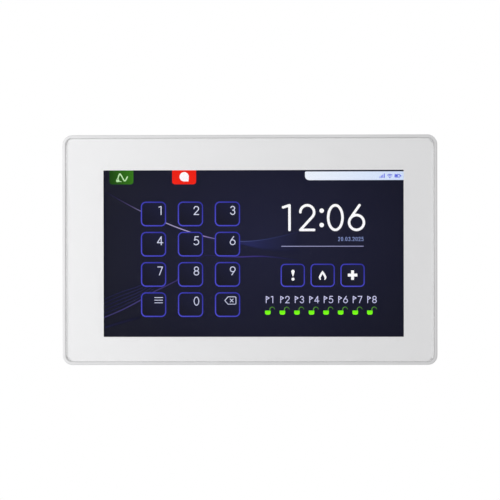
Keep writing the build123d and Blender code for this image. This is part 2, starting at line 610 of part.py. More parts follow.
def tamper_spring():
    """Conical coil between the board and the plunger's flange, pressed nearly flat at rest."""
    wire, turns, low, high = 0.16, 2.5, 7.7, BOARD_BACK
    height = high - low - 2 * wire - 0.04
    top_r, bottom_r = FLANGE_R - wire - 0.1, FLANGE_R + 1.0
    cone = math.degrees(math.atan((bottom_r - top_r) / height))
    path = Helix(height / turns, height, top_r, cone_angle=cone)
    section = Plane(path @ 0, z_dir=path % 0) * Circle(wire)
    coil = sweep(section, path=path, is_frenet=True)
    return Pos(TAMPER_X, -(low + wire + 0.02), TAMPER_Z) * Rot(90, 0, 0) * coil


def reset_switch():
    """Small push switch on the board, reached through the terminal opening."""
    body = slab(4.4, 4.4, BOARD_BACK - 1.6, BOARD_BACK, 0.4, RESET_X, RESET_Z)
    return body - peg(1.15, 0, BOARD_BACK - 1.0, RESET_X, RESET_Z)


def reset_button():
    """The switch's key."""
    key = peg(1.1, BOARD_BACK - 2.6, BOARD_BACK - 1.3, RESET_X, RESET_Z)
    return chamfer(key.faces().sort_by(Axis.Y)[-1].edges(), 0.2)


def speaker_socket():
    """Two-way wire socket at the board's right edge."""
    body = block(50, 56, BOARD_BACK - 2.6, BOARD_BACK, SOCKET_WAYS[1] - 1.5, SOCKET_WAYS[0] + 1.5)
    for z in SOCKET_WAYS:
        body -= bar(0.7, 53.5, 57, BOARD_BACK - 1.4, z)
    return body


# Speaker ------------------------------------------------------------------------------------------
def speaker_gasket():
    """Foam ring between speaker and housing."""
    ring = peg(SPEAKER_R, FLOOR, RIM_BACK, SPEAKER_X, SPEAKER_Z)
    return ring - peg(SPEAKER_R - 1.6, 0, DEPTH, SPEAKER_X, SPEAKER_Z)


def speaker_basket():
    """Steel basket: a rim, a stepped cup and two solder lugs."""
    basket = peg(SPEAKER_R, RIM_BACK, CLAMP_BACK, SPEAKER_X, SPEAKER_Z)
    basket += peg(SPEAKER_R - 1.8, CLAMP_BACK, RIM_BACK + 2.6, SPEAKER_X, SPEAKER_Z)
    basket -= peg(SPEAKER_R - 1.6, 0, RIM_BACK + 0.5, SPEAKER_X, SPEAKER_Z)
    basket -= peg(SPEAKER_R - 2.3, 0, RIM_BACK + 2.2, SPEAKER_X, SPEAKER_Z)
    for z in SPEAKER_LUGS:
        basket += block(SPEAKER_X - 13.4, SPEAKER_X - 9, LUG_BACK, LUG_BACK + 0.5, z - 0.7, z + 0.7)
    return basket


def speaker_cone():
    """Diaphragm: a shallow dome, and a flat surround that rests on the basket's step."""
    step, dome_r, join_r = RIM_BACK + 0.5, 12.0, 4.2
    centre = step + math.sqrt(dome_r**2 - join_r**2)
    dome = Sphere(dome_r) - Sphere(dome_r - 0.25)
    cap = Pos(SPEAKER_X, -centre, SPEAKER_Z) * dome & peg(join_r, FLOOR, step, SPEAKER_X, SPEAKER_Z)
    surround = peg(SPEAKER_R - 1.7, step - 0.3, step, SPEAKER_X, SPEAKER_Z)
    return surround - peg(join_r - 0.2, 0, DEPTH, SPEAKER_X, SPEAKER_Z) + cap


def speaker_magnet():
    """Magnet and yoke behind the basket."""
    magnet = peg(6.0, RIM_BACK + 2.6, RIM_BACK + 4.6, SPEAKER_X, SPEAKER_Z)
    return fillet(magnet.faces().sort_by(Axis.Y)[0].edges(), 0.4)


def speaker_clamp():
    """Spring-steel ring that presses the speaker on its gasket, with two screwed ears."""
    front = CLAMP_BACK + 0.6
    ring = peg(SPEAKER_R + 0.6, CLAMP_BACK, front, SPEAKER_X, SPEAKER_Z)
    (x0, z0), (x1, z1) = speaker_screw_places()
    ears = Plane.XZ.offset(CLAMP_BACK) * Pos(SPEAKER_X, SPEAKER_Z) * Rot(0, 0, -45)
    ring += extrude(ears * SlotCenterToCenter(math.hypot(x1 - x0, z1 - z0), 4.2), front - CLAMP_BACK)
    ring -= peg(SPEAKER_R - 1.7, 0, DEPTH, SPEAKER_X, SPEAKER_Z)
    for x, z in speaker_screw_places():
        ring -= peg(0.95, 0, DEPTH, x, z)
    return ring


def speaker_clamp_screws():
    """Two small screws, driven from the front before the shells are closed."""
    seat = CLAMP_BACK + 0.6
    return [pan_screw(1.6, 0.8, 0.8, seat, 2.9, x, z, from_front=True) for x, z in speaker_screw_places()]


def speaker_leads():
    """Two insulated wires from the speaker's lugs to its socket on the board."""
    wires = []
    for start_z, end_z in zip(SPEAKER_LUGS, SOCKET_WAYS):
        points = [
            (SPEAKER_X - 12.6, -(LUG_BACK - 0.55), start_z),
            (SPEAKER_X - 15.6, -(LUG_BACK - 0.6), start_z + 0.15),
            (57.6, -(BOARD_BACK - 1.4), end_z),
            (54.2, -(BOARD_BACK - 1.4), end_z),
        ]
        radii = lead_radii(points)
        print("speaker lead radii", [round(radius, 2) for radius in radii])
        path = FilletPolyline(*points, radius=radii)
        wires.append(sweep(Plane(path @ 0, z_dir=path % 0) * Circle(0.5), path=path))
    return wires


def lead_radii(points):
    """For each corner, 0.45 of the shorter run divided by the tangent of half the turn."""
    radii = []
    for before, here, after in zip(points, points[1:], points[2:]):
        arrive, leave = Vector(*here) - Vector(*before), Vector(*after) - Vector(*here)
        half_turn = math.radians(arrive.get_angle(leave) / 2)
        radii.append(0.45 * min(arrive.length, leave.length) / math.tan(half_turn))
    return radii


def rating_label():
    """Blank foil label in its recess."""
    return slab(LABEL_W, LABEL_H, BACK + 0.1, BACK + 0.2, 1.0, LABEL_X, LABEL_Z)


# Assembly -----------------------------------------------------------------------------------------
add("wall_plate", wall_plate())
add("hinge_pins", *hinge_pins())
add("rattle_pads", *rattle_pads())
add("rear_housing", rear_housing())
add("housing_screws", *housing_screws())
add("lock_insert", lock_insert())
add("lock_screw", lock_screw())
add("front_bezel", front_bezel())
add("cover_lens", cover_lens())
add("border_mask", border_mask())
add("lens_tape", lens_tape())
add("touch_sensor", touch_sensor())
add("display_frame", display_frame())
add("display_gasket", display_gasket())
add("display_cell", display_cell())
add("light_sheets", light_sheets())
add("light_guide", light_guide())
add("reflector_sheet", reflector_sheet())
add("backlight_tray", backlight_tray())
add("led_strip", led_strip())
add("display_flex", display_flex())
add("touch_flex", touch_flex())
add("display_carrier", display_carrier())
add("carrier_screws", *carrier_screws())
add("board_standoffs", *board_standoffs())
add("main_board", main_board())
add("board_screws", *board_screws())
add("processor", chip(14, 14, 1.4, -38, 8))
add("memory_chips", chip(9, 13, 1.2, -38, -14), chip(9, 13, 1.2, -52, 8))
add("chip_legs", *legs(8, 1.1, 7.0, -38, -14), *legs(8, 1.1, 7.0, -52, 8))
add("shield_can", shield_can(38, 22))
add("capacitors", capacitor(-48, -30), capacitor(-42, -30), capacitor(28, -12), capacitor(34, -12))
add("inductors", inductor(-34, -30), inductor(42, -12))
add("display_flex_socket", flex_socket(DISPLAY_FLEX_W, DISPLAY_FLEX_X))
add("touch_flex_socket", flex_socket(TOUCH_FLEX_W, TOUCH_FLEX_X))
add("terminal_header", terminal_header())
add("terminal_pins", *terminal_pins())
add("terminal_plug", terminal_plug())
add("terminal_clamps", *terminal_clamps())
for pole, pole_x in enumerate(terminal_poles(), start=1):
    add(f"release_button_{pole}", release_button(pole_x))
add("tamper_switch", tamper_switch())
add("tamper_plunger", tamper_plunger())
add("tamper_spring", tamper_spring())
add("reset_switch", reset_switch())
add("reset_button", reset_button())
add("speaker_socket", speaker_socket())
add("speaker_gasket", speaker_gasket())
add("speaker_basket", speaker_basket())
add("speaker_cone", speaker_cone())
add("speaker_magnet", speaker_magnet())
add("speaker_clamp", speaker_clamp())
add("speaker_clamp_screws", *speaker_clamp_screws())
add("speaker_leads", *speaker_leads())
add("rating_label", rating_label())

os.makedirs("parts", exist_ok=True)
for name, shape in PARTS.items():
    export_step(shape, f"parts/{name}.step")
print(len(PARTS), "nodes")
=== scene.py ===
"""Looks of a touch-screen alarm keypad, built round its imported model.

Everything is in metres in the model's own frame: the origin is the centre of the wall plate's back
face, +X is to the reader's right, +Z is up and +Y goes into the wall. A depth is a distance from the
wall towards the reader, in millimetres, so y = -depth.
"""
import json
import logging
import math
from dataclasses import dataclass
from enum import Enum
from typing import Any, Iterable, Sequence

import bmesh
import bpy
from mathutils import Matrix, Vector


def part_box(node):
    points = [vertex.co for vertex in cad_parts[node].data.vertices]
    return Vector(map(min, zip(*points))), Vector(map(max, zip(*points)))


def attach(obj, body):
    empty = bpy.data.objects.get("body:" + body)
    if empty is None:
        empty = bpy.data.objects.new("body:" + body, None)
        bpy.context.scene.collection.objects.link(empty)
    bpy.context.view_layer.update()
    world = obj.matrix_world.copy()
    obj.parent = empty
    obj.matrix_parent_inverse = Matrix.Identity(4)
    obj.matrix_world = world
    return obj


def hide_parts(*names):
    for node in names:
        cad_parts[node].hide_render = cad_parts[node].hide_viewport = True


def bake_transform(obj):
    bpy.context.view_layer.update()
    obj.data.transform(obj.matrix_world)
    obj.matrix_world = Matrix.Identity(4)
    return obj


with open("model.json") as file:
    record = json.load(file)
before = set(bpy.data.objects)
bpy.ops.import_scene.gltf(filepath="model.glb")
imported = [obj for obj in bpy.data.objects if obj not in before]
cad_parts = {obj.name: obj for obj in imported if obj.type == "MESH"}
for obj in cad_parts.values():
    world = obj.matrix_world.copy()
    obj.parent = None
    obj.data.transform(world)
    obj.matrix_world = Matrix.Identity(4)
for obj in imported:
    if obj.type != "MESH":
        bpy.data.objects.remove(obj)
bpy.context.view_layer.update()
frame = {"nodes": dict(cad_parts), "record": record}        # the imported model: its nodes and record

LOG = logging.getLogger("keypad")
MM = 0.001
FRONT_UNIT = "front_unit"  # the body that carries everything but the wall plate and small movers
GAIN = 1.06  # of the picture's light, for what lens and sensor mirror away
SHEET = 0.05  # thickness of a part of the picture, mm
Point = tuple[float, float]
Colour = tuple[float, float, float, float]


# Small tools --------------------------------------------------------------------------------------
def linear(hex_colour: str) -> Colour:
    """Turns an sRGB hex colour into linear light.

    Args:
        hex_colour: Six hex digits, such as "c8cdeb".

    Returns:
        Red, green, blue and an alpha of 1.
    """
    parts = [int(hex_colour[i:i + 2], 16) / 255 for i in (0, 2, 4)]
    return (*[p / 12.92 if p <= 0.04045 else ((p + 0.055) / 1.055) ** 2.4 for p in parts], 1.0)


def add_node(
    tree: bpy.types.NodeTree,
    kind: str,
    inputs: dict[str | int, Any] | None = None,
    stops: Sequence[tuple[float, Colour]] | None = None,
    **settings: Any,
) -> bpy.types.Node:
    """Adds a node with its settings, values and links.

    Args:
        tree: The node tree that gets it.
        kind: The node's type name.
        inputs: For each input, by name or place, a value or the socket that feeds it.
        stops: The places and colours of a colour ramp.
        **settings: The node's own properties.

    Returns:
        The new node.
    """
    node = tree.nodes.new(kind)
    for name, value in settings.items():
        setattr(node, name, value)
    for name, value in (inputs or {}).items():
        if isinstance(value, bpy.types.NodeSocket):
            tree.links.new(value, node.inputs[name])
        else:
            node.inputs[name].default_value = value
    if stops:
        band = node.color_ramp
        for place, _ in stops[2:]:
            band.elements.new(place)
        for element, (place, colour) in zip(band.elements, sorted(stops, key=lambda stop: stop[0])):
            element.position, element.color = place, colour
    return node


def squareness(tree: bpy.types.NodeTree) -> bpy.types.NodeSocket:
    """Tells how squarely each facet lies across its own piece's depth, wherever the piece has swung.

    Args:
        tree: The material's node tree.

    Returns:
        A socket with 1 on a facet parallel to the keypad's front and 0 on one that stands on edge.
    """
    facet = add_node(tree, "ShaderNodeNewGeometry").outputs["True Normal"]
    own = add_node(
        tree,
        "ShaderNodeVectorTransform",
        {0: facet},
        vector_type="NORMAL",
        convert_from="WORLD",
        convert_to="OBJECT",
    )
    depth = add_node(tree, "ShaderNodeSeparateXYZ", {0: own.outputs[0]}).outputs["Y"]
    return add_node(tree, "ShaderNodeMath", {0: depth}, operation="ABSOLUTE").outputs[0]


def middle(node: str) -> Vector:
    """Returns the centre of a CAD node's box, in millimetres."""
    low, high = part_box(node)
    return (low + high) / 2 / MM


def new_object(name: str, mesh: bpy.types.Mesh, finish: "Finish") -> bpy.types.Object:
    """Puts a finished mesh in the scene as a piece.

    Args:
        name: The piece's name.
        mesh: Its mesh, in the model's frame.
        finish: What it is made of.

    Returns:
        The new object, at the origin.
    """
    mesh.materials.clear()
    mesh.materials.append(finish.material())
    piece = bpy.data.objects.new(name, mesh)
    bpy.context.scene.collection.objects.link(piece)
    return piece


def carried(piece: bpy.types.Object, body: str) -> bpy.types.Object:
    """Makes a piece move with a body."""
    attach(piece, body)
    return piece


# Finishes -----------------------------------------------------------------------------------------
@dataclass(frozen=True)
class Finish:
    """What a surface is made of. Its material is made once and shared."""

    name: str

    def material(self) -> bpy.types.Material:
        """Returns the finish's material, which is made the first time that it is asked for."""
        made = bpy.data.materials.get(self.name)
        if made is None:
            made = bpy.data.materials.new(self.name)
            made.use_nodes = True
            made.node_tree.nodes.clear()
            surface = self.shade(made.node_tree)
            add_node(made.node_tree, "ShaderNodeOutputMaterial", {"Surface": surface})
        return made

    def shade(self, tree: bpy.types.NodeTree) -> bpy.types.NodeSocket:
        """Builds the finish's nodes.

        Args:
            tree: The material's node tree.

        Returns:
            The shader socket for the output.
        """
        raise NotImplementedError


@dataclass(frozen=True)
class MouldedPlastic(Finish):
    """Injection-moulded plastic: a fine spark-eroded grain over a tone that drifts a little."""

    colour: str
    flow: str  # the tone where the melt flowed last
    roughness: float = 0.42
    grain: float = 0.35  # size of the grain, mm
    relief: float = 0.006  # height of the grain, mm
    drift: float = 60.0  # size of the tone's patches, mm

    def shade(self, tree: bpy.types.NodeTree) -> bpy.types.NodeSocket:
        """Builds a drifting tone and a grain that both bumps and dulls the surface."""
        place = add_node(tree, "ShaderNodeTexCoord").outputs["Object"]
        patches = add_node(
            tree, "ShaderNodeTexNoise", {"Vector": place, "Scale": 1 / (self.drift * MM), "Detail": 2.0}
        )
        tone = add_node(
            tree,
            "ShaderNodeValToRGB",
            {"Fac": patches.outputs["Fac"]},
            stops=[(0.35, linear(self.flow)), (0.65, linear(self.colour))],
        )
        grain = add_node(
            tree, "ShaderNodeTexNoise", {"Vector": place, "Scale": 1 / (self.grain * MM), "Detail": 3.0}
        )
        dull = add_node(tree, "ShaderNodeMapRange", {
            "Value": grain.outputs["Fac"],
            "To Min": self.roughness - 0.08,
            "To Max": self.roughness + 0.08,
        })
        bump = add_node(
            tree, "ShaderNodeBump", {"Height": grain.outputs["Fac"], "Distance": self.relief * MM}
        )
        surface = add_node(tree, "ShaderNodeBsdfPrincipled", {
            "Base Color": tone.outputs["Color"],
            "Roughness": dull.outputs["Result"],
            "Normal": bump.outputs["Normal"],
            "IOR": 1.53,
        })
        return surface.outputs["BSDF"]


class Lay(Enum):
    """Which way the marks in a metal run, as the share of their size along X, Y and Z."""

    ALONG_X = (0.04, 1.0, 1.0)
    ALONG_Z = (1.0, 1.0, 0.04)
    EVEN = (1.0, 1.0, 1.0)


@dataclass(frozen=True)
class Metal(Finish):
    """Bare or plated metal, with rolling, drawing or blasting marks and patches of tarnish."""

    colour: str
    tarnish: str
    roughness: float = 0.32
    lay: Lay = Lay.EVEN
    mark: float = 0.25  # width of the marks, mm
    relief: float = 0.002  # their depth, mm
    patch: float = 9.0  # size of the tarnished patches, mm

    def shade(self, tree: bpy.types.NodeTree) -> bpy.types.NodeSocket:
        """Builds stretched marks over patches of two tones."""
        place = add_node(tree, "ShaderNodeTexCoord").outputs["Object"]
        turned = add_node(tree, "ShaderNodeMapping", {"Vector": place, "Scale": self.lay.value})
        marks = add_node(
            tree,
            "ShaderNodeTexNoise",
            {"Vector": turned.outputs["Vector"], "Scale": 1 / (self.mark * MM), "Detail": 4.0},
        )
        patches = add_node(
            tree, "ShaderNodeTexNoise", {"Vector": place, "Scale": 1 / (self.patch * MM), "Detail": 3.0}
        )
        tone = add_node(
            tree,
            "ShaderNodeValToRGB",
            {"Fac": patches.outputs["Fac"]},
            stops=[(0.38, linear(self.tarnish)), (0.6, linear(self.colour))],
        )
        dull = add_node(
            tree,
            "ShaderNodeMapRange",
            {"Value": marks.outputs["Fac"], "To Min": self.roughness - 0.1, "To Max": self.roughness + 0.1},
        )
        bump = add_node(
            tree, "ShaderNodeBump", {"Height": marks.outputs["Fac"], "Distance": self.relief * MM}
        )
        surface = add_node(tree, "ShaderNodeBsdfPrincipled", {
            "Base Color": tone.outputs["Color"],
            "Metallic": 1.0,
            "Roughness": dull.outputs["Result"],
            "Normal": bump.outputs["Normal"],
        })
        return surface.outputs["BSDF"]


@dataclass(frozen=True)
class Cellular(Finish):
    """Foam or rubber: rounded cells, with painted shade darkening the hollows between them."""

    colour: str
    # painted shade: the darker tone laid into the hollows between the cells
    hollow_shade: str
    cell: float = 0.5  # mm
    relief: float = 0.06  # mm
    roughness: float = 0.85

    def shade(self, tree: bpy.types.NodeTree) -> bpy.types.NodeSocket:
        """Builds the cells and paints shade into their hollows."""
        place = add_node(tree, "ShaderNodeTexCoord").outputs["Object"]
        cells = add_node(tree, "ShaderNodeTexVoronoi", {"Vector": place, "Scale": 1 / (self.cell * MM)})
        tone = add_node(
            tree,
            "ShaderNodeValToRGB",
            {"Fac": cells.outputs["Distance"]},
            stops=[(0.2, linear(self.colour)), (0.75, linear(self.hollow_shade))],
        )
        bump = add_node(
            tree,
            "ShaderNodeBump",
            {"Height": cells.outputs["Distance"], "Distance": self.relief * MM},
            invert=True,
        )
        surface = add_node(tree, "ShaderNodeBsdfPrincipled", {
            "Base Color": tone.outputs["Color"],
            "Roughness": self.roughness,
            "Normal": bump.outputs["Normal"],
        })
        return surface.outputs["BSDF"]


@dataclass(frozen=True)
class ClearSheet(Finish):
    """Clear glass or film that is see-through face on and mirrors more at a slant."""

    face_on: float = 0.04  # share of light mirrored face on
    roughness: float = 0.03
    smear: float = 25.0  # size of the faint wiping marks, mm

    def shade(self, tree: bpy.types.NodeTree) -> bpy.types.NodeSocket:
        """Builds a clear shader and a mirror, mixed by Schlick's rule on both faces."""
        slant = add_node(tree, "ShaderNodeLayerWeight", {"Blend": 0.5}).outputs["Facing"]
        steep = add_node(tree, "ShaderNodeMath", {0: slant, 1: 5.0}, operation="POWER")
        share = add_node(
            tree,
            "ShaderNodeMath",
            {0: steep.outputs[0], 1: 1 - self.face_on, 2: self.face_on},
            operation="MULTIPLY_ADD",
        )
        place = add_node(tree, "ShaderNodeTexCoord").outputs["Object"]
        wiped = add_node(
            tree, "ShaderNodeTexNoise", {"Vector": place, "Scale": 1 / (self.smear * MM), "Detail": 5.0}
        )
        dull = add_node(tree, "ShaderNodeMapRange", {
            "Value": wiped.outputs["Fac"],
            "From Min": 0.4,
            "From Max": 0.8,
            "To Min": self.roughness,
            "To Max": self.roughness + 0.06,
        })
        clear = add_node(tree, "ShaderNodeBsdfTransparent")
        mirror = add_node(tree, "ShaderNodeBsdfAnisotropic", {"Roughness": dull.outputs["Result"]})
        mixed = add_node(
            tree, "ShaderNodeMixShader", {0: share.outputs[0], 1: clear.outputs[0], 2: mirror.outputs[0]}
        )
        return mixed.outputs[0]


@dataclass(frozen=True)
class GroundEdgeSheet(ClearSheet):
    """A clear sheet whose rounded edges are ground: they scatter light and look frosted white."""

    frost: str = "ffffff"
    square_on: float = 0.97  # how squarely a spot faces the reader where the polish ends, 0 to 1
    frosting: float = 0.45  # how solid the frosted band is
    passing: float = 0.12  # the share of light that the frost lets through

    def shade(self, tree: bpy.types.NodeTree) -> bpy.types.NodeSocket:
        """Lays a frosted surface over the clear one where it turns away from the reader."""
        polished = super().shade(tree)
        ground = add_node(tree, "ShaderNodeMapRange", {
            "Value": squareness(tree),
            "From Min": self.square_on,
            "From Max": 1.0,
            "To Min": self.frosting,
            "To Max": 0.0,
        })
        place = add_node(tree, "ShaderNodeTexCoord").outputs["Object"]
        grit = add_node(tree, "ShaderNodeTexNoise", {"Vector": place, "Scale": 1 / (0.12 * MM)})
        bump = add_node(tree, "ShaderNodeBump", {"Height": grit.outputs["Fac"], "Distance": 0.004 * MM})
        lit = add_node(
            tree,
            "ShaderNodeBsdfPrincipled",
            {"Base Color": linear(self.frost), "Roughness": 0.6, "Normal": bump.outputs["Normal"]},
        )
        through = add_node(tree, "ShaderNodeBsdfTranslucent", {"Color": linear(self.frost)})
        frosted = add_node(
            tree, "ShaderNodeMixShader", {0: self.passing, 1: lit.outputs[0], 2: through.outputs[0]}
        )
        mixed = add_node(
            tree, "ShaderNodeMixShader", {0: ground.outputs[0], 1: polished, 2: frosted.outputs[0]}
        )
        return mixed.outputs[0]


@dataclass(frozen=True)
class PrintedFilm(Finish):
    """Ink or film with the faint weave that a printing screen leaves in it."""

    colour: str
    weave_tone: str
    pitch: float = 0.3  # threads of the printing screen, mm
    roughness: float = 0.5

    def shade(self, tree: bpy.types.NodeTree) -> bpy.types.NodeSocket:
        """Builds two crossed sets of fine waves that tint and bump the ink."""
        place = add_node(tree, "ShaderNodeTexCoord").outputs["Object"]
        threads = [
            add_node(
                tree,
                "ShaderNodeTexWave",
                {"Vector": place, "Scale": 1 / (self.pitch * MM) / math.tau, "Distortion": 0.4},
                bands_direction=direction,
            ).outputs["Fac"]
            for direction in ("X", "Z")
        ]
        weave = add_node(tree, "ShaderNodeMath", {0: threads[0], 1: threads[1]}, operation="MULTIPLY")
        tone = add_node(
            tree,
            "ShaderNodeValToRGB",
            {"Fac": weave.outputs[0]},
            stops=[(0.0, linear(self.colour)), (1.0, linear(self.weave_tone))],
        )
        bump = add_node(tree, "ShaderNodeBump", {"Height": weave.outputs[0], "Distance": 0.001 * MM})
        surface = add_node(tree, "ShaderNodeBsdfPrincipled", {
            "Base Color": tone.outputs["Color"],
            "Roughness": self.roughness,
            "Normal": bump.outputs["Normal"],
        })
        return surface.outputs["BSDF"]


@dataclass(frozen=True)
class SolderMask(Finish):
    """Green lacquer over copper tracks on glass laminate, with plated holes between them."""

    colour: str
    track: str
    edge: str
    gold: str
    pitch: float = 1.1  # between tracks, mm

    def shade(self, tree: bpy.types.NodeTree) -> bpy.types.NodeSocket:
        """Builds runs of tracks in both directions, raised under the lacquer, and gold dots."""
        place = add_node(tree, "ShaderNodeTexCoord").outputs["Object"]
        snapped = add_node(
            tree,
            "ShaderNodeVectorMath",
            {0: place, 1: (self.pitch * 9 * MM, 1.0, self.pitch * 13 * MM)},
            operation="SNAP",
        )
        chance = add_node(
            tree, "ShaderNodeTexWhiteNoise", {"Vector": snapped.outputs[0]}, noise_dimensions="3D"
        )
        runs = [
            add_node(tree, "ShaderNodeTexWave", {
                "Vector": place,
                "Scale": 1 / (self.pitch * MM) / math.tau,
                "Distortion": 1.2,
                "Detail": 0.0,
                "Detail Scale": 0.12,
            }, bands_direction=direction).outputs["Fac"]
            for direction in ("X", "Z")
        ]
        across = add_node(
            tree, "ShaderNodeMath", {0: chance.outputs["Value"], 1: 0.5}, operation="GREATER_THAN"
        )
        picked = add_node(
            tree, "ShaderNodeMix", {0: across.outputs[0], 2: runs[0], 3: runs[1]}, data_type="FLOAT"
        )
        track = add_node(
            tree,
            "ShaderNodeMapRange",
            {"Value": picked.outputs[0], "From Min": 0.66, "From Max": 0.74},
            clamp=True,
        )
        dots = add_node(
            tree,
            "ShaderNodeTexVoronoi",
            {"Vector": place, "Scale": 1 / (4 * self.pitch * MM), "Randomness": 0.7},
        )
        hole = add_node(
            tree, "ShaderNodeMath", {0: dots.outputs["Distance"], 1: 0.1}, operation="LESS_THAN"
        )
        lacquer = add_node(
            tree,
            "ShaderNodeMix",
            {0: track.outputs[0], 6: linear(self.colour), 7: linear(self.track)},
            data_type="RGBA",
        )
        dotted = add_node(
            tree,
            "ShaderNodeMix",
            {0: hole.outputs[0], 6: lacquer.outputs[2], 7: linear(self.gold)},
            data_type="RGBA",
        )
        flat = add_node(tree, "ShaderNodeMath", {0: squareness(tree), 1: 0.5}, operation="GREATER_THAN")
        tone = add_node(
            tree,
            "ShaderNodeMix",
            {0: flat.outputs[0], 6: linear(self.edge), 7: dotted.outputs[2]},
            data_type="RGBA",
        )
        bump = add_node(tree, "ShaderNodeBump", {"Height": track.outputs[0], "Distance": 0.03 * MM})
        surface = add_node(tree, "ShaderNodeBsdfPrincipled", {
            "Base Color": tone.outputs[2],
            "Metallic": hole.outputs[0],
            "Roughness": 0.28,
            "Normal": bump.outputs["Normal"],
            "IOR": 1.55,
        })
        return surface.outputs["BSDF"]


@dataclass(frozen=True)
class Banded(Finish):
    """Two tones in bands along one axis, such as the conductors of a flat cable."""

    colour: str
    band: str
    axis: int  # 0, 1 or 2 for X, Y or Z
    pitch: float  # from band to band, mm
    share: float = 0.5  # how much of the pitch a band takes
    shift: float = 0.0  # where the first band starts, mm
    metallic: float = 0.0
    roughness: float = 0.35

    def shade(self, tree: bpy.types.NodeTree) -> bpy.types.NodeSocket:
        """Builds the bands from the place along the axis, with a fine mottle over both tones."""
        place = add_node(tree, "ShaderNodeTexCoord").outputs["Object"]
        along = add_node(tree, "ShaderNodeSeparateXYZ", {0: place}).outputs[self.axis]
        moved = add_node(tree, "ShaderNodeMath", {0: along, 1: self.shift * MM}, operation="SUBTRACT")
        part = add_node(
            tree, "ShaderNodeMath", {0: moved.outputs[0], 1: self.pitch * MM}, operation="FLOORED_MODULO"
        )
        band = add_node(
            tree,
            "ShaderNodeMath",
            {0: part.outputs[0], 1: self.share * self.pitch * MM},
            operation="LESS_THAN",
        )
        mottle = add_node(
            tree, "ShaderNodeTexNoise", {"Vector": place, "Scale": 1 / (1.5 * MM), "Detail": 3.0}
        )
        tone = add_node(
            tree,
            "ShaderNodeMix",
            {0: band.outputs[0], 6: linear(self.colour), 7: linear(self.band)},
            data_type="RGBA",
        )
        worn = add_node(tree, "ShaderNodeHueSaturation", {
            "Color": tone.outputs[2],
            "Value": add_node(
                tree,
                "ShaderNodeMapRange",
                {"Value": mottle.outputs["Fac"], "To Min": 0.9, "To Max": 1.08},
            ).outputs[0],
        })
        bump = add_node(tree, "ShaderNodeBump", {"Height": mottle.outputs["Fac"], "Distance": 0.004 * MM})
        surface = add_node(tree, "ShaderNodeBsdfPrincipled", {
            "Base Color": worn.outputs["Color"],
            "Metallic": self.metallic,
            "Roughness": self.roughness,
            "Normal": bump.outputs["Normal"],
        })
        return surface.outputs["BSDF"]


@dataclass(frozen=True)
class PictureGlass(Finish):
    """The liquid-crystal cell: black glass whose front glows deep navy, paler near its middle."""

    middle: Point  # of the pale patch, mm from the picture's middle
    reach: Point  # its half width and half height, mm
    front: float  # depth of the cell's front face, mm
    tones: tuple[tuple[float, str], ...]  # from the corners to the middle of the patch

    def shade(self, tree: bpy.types.NodeTree) -> bpy.types.NodeSocket:
        """Builds a round falloff for the picture, lit only on the cell's front face."""
        place = add_node(tree, "ShaderNodeTexCoord").outputs["Object"]
        (u, v), (wide, high) = self.middle, self.reach
        squeezed = add_node(tree, "ShaderNodeMapping", {
            "Vector": place,
            "Location": (-u / wide, 0.0, -v / high),
            "Scale": (1 / (wide * MM), 0.0, 1 / (high * MM)),
        })
        falloff = add_node(
            tree, "ShaderNodeTexGradient", {"Vector": squeezed.outputs[0]}, gradient_type="SPHERICAL"
        )
        tone = add_node(
            tree,
            "ShaderNodeValToRGB",
            {"Fac": falloff.outputs["Fac"]},
            stops=[(at, linear(colour)) for at, colour in self.tones],
        )
        along = add_node(tree, "ShaderNodeSeparateXYZ", {0: place})
        lit = add_node(
            tree,
            "ShaderNodeMath",
            {0: along.outputs["Y"], 1: -(self.front - 0.02) * MM},
            operation="LESS_THAN",
        )
        shown = add_node(
            tree,
            "ShaderNodeMix",
            {0: lit.outputs[0], 6: (0.0, 0.0, 0.0, 1.0), 7: tone.outputs["Color"]},
            data_type="RGBA",
        )
        surface = add_node(tree, "ShaderNodeBsdfPrincipled", {
            "Base Color": linear("020203"),
            "Roughness": 0.35,
            "Specular IOR Level": 0.1,
            "Emission Color": shown.outputs[2],
            "Emission Strength": GAIN,
        })
        return surface.outputs["BSDF"]


@dataclass(frozen=True)
class LitInk(Finish):
    """A coloured part of the lit picture, shaded from one side of each shape to the other."""

    start: str
    end: str
    turn: float = 90.0  # direction of the shading, degrees up from left-to-right

    def shade(self, tree: bpy.types.NodeTree) -> bpy.types.NodeSocket:
        """Builds the shading from the shape's own across and up attributes."""
        across = add_node(tree, "ShaderNodeAttribute", attribute_name="across").outputs["Fac"]
        up = add_node(tree, "ShaderNodeAttribute", attribute_name="up").outputs["Fac"]
        lean = math.radians(self.turn)
        total = abs(math.cos(lean)) + abs(math.sin(lean))
        part = add_node(tree, "ShaderNodeMath", {0: up, 1: math.sin(lean) / total}, operation="MULTIPLY")
        whole = add_node(
            tree,
            "ShaderNodeMath",
            {0: across, 1: math.cos(lean) / total, 2: part.outputs[0]},
            operation="MULTIPLY_ADD",
        )
        tone = add_node(
            tree,
            "ShaderNodeValToRGB",
            {"Fac": whole.outputs[0]},
            stops=[(0.0, linear(self.start)), (1.0, linear(self.end))],
        )
        surface = add_node(tree, "ShaderNodeBsdfPrincipled", {
            "Base Color": (0.0, 0.0, 0.0, 1.0),
            "Roughness": 0.6,
            "Specular IOR Level": 0.0,
            "Emission Color": tone.outputs["Color"],
            "Emission Strength": GAIN,
        })
        return surface.outputs["BSDF"]


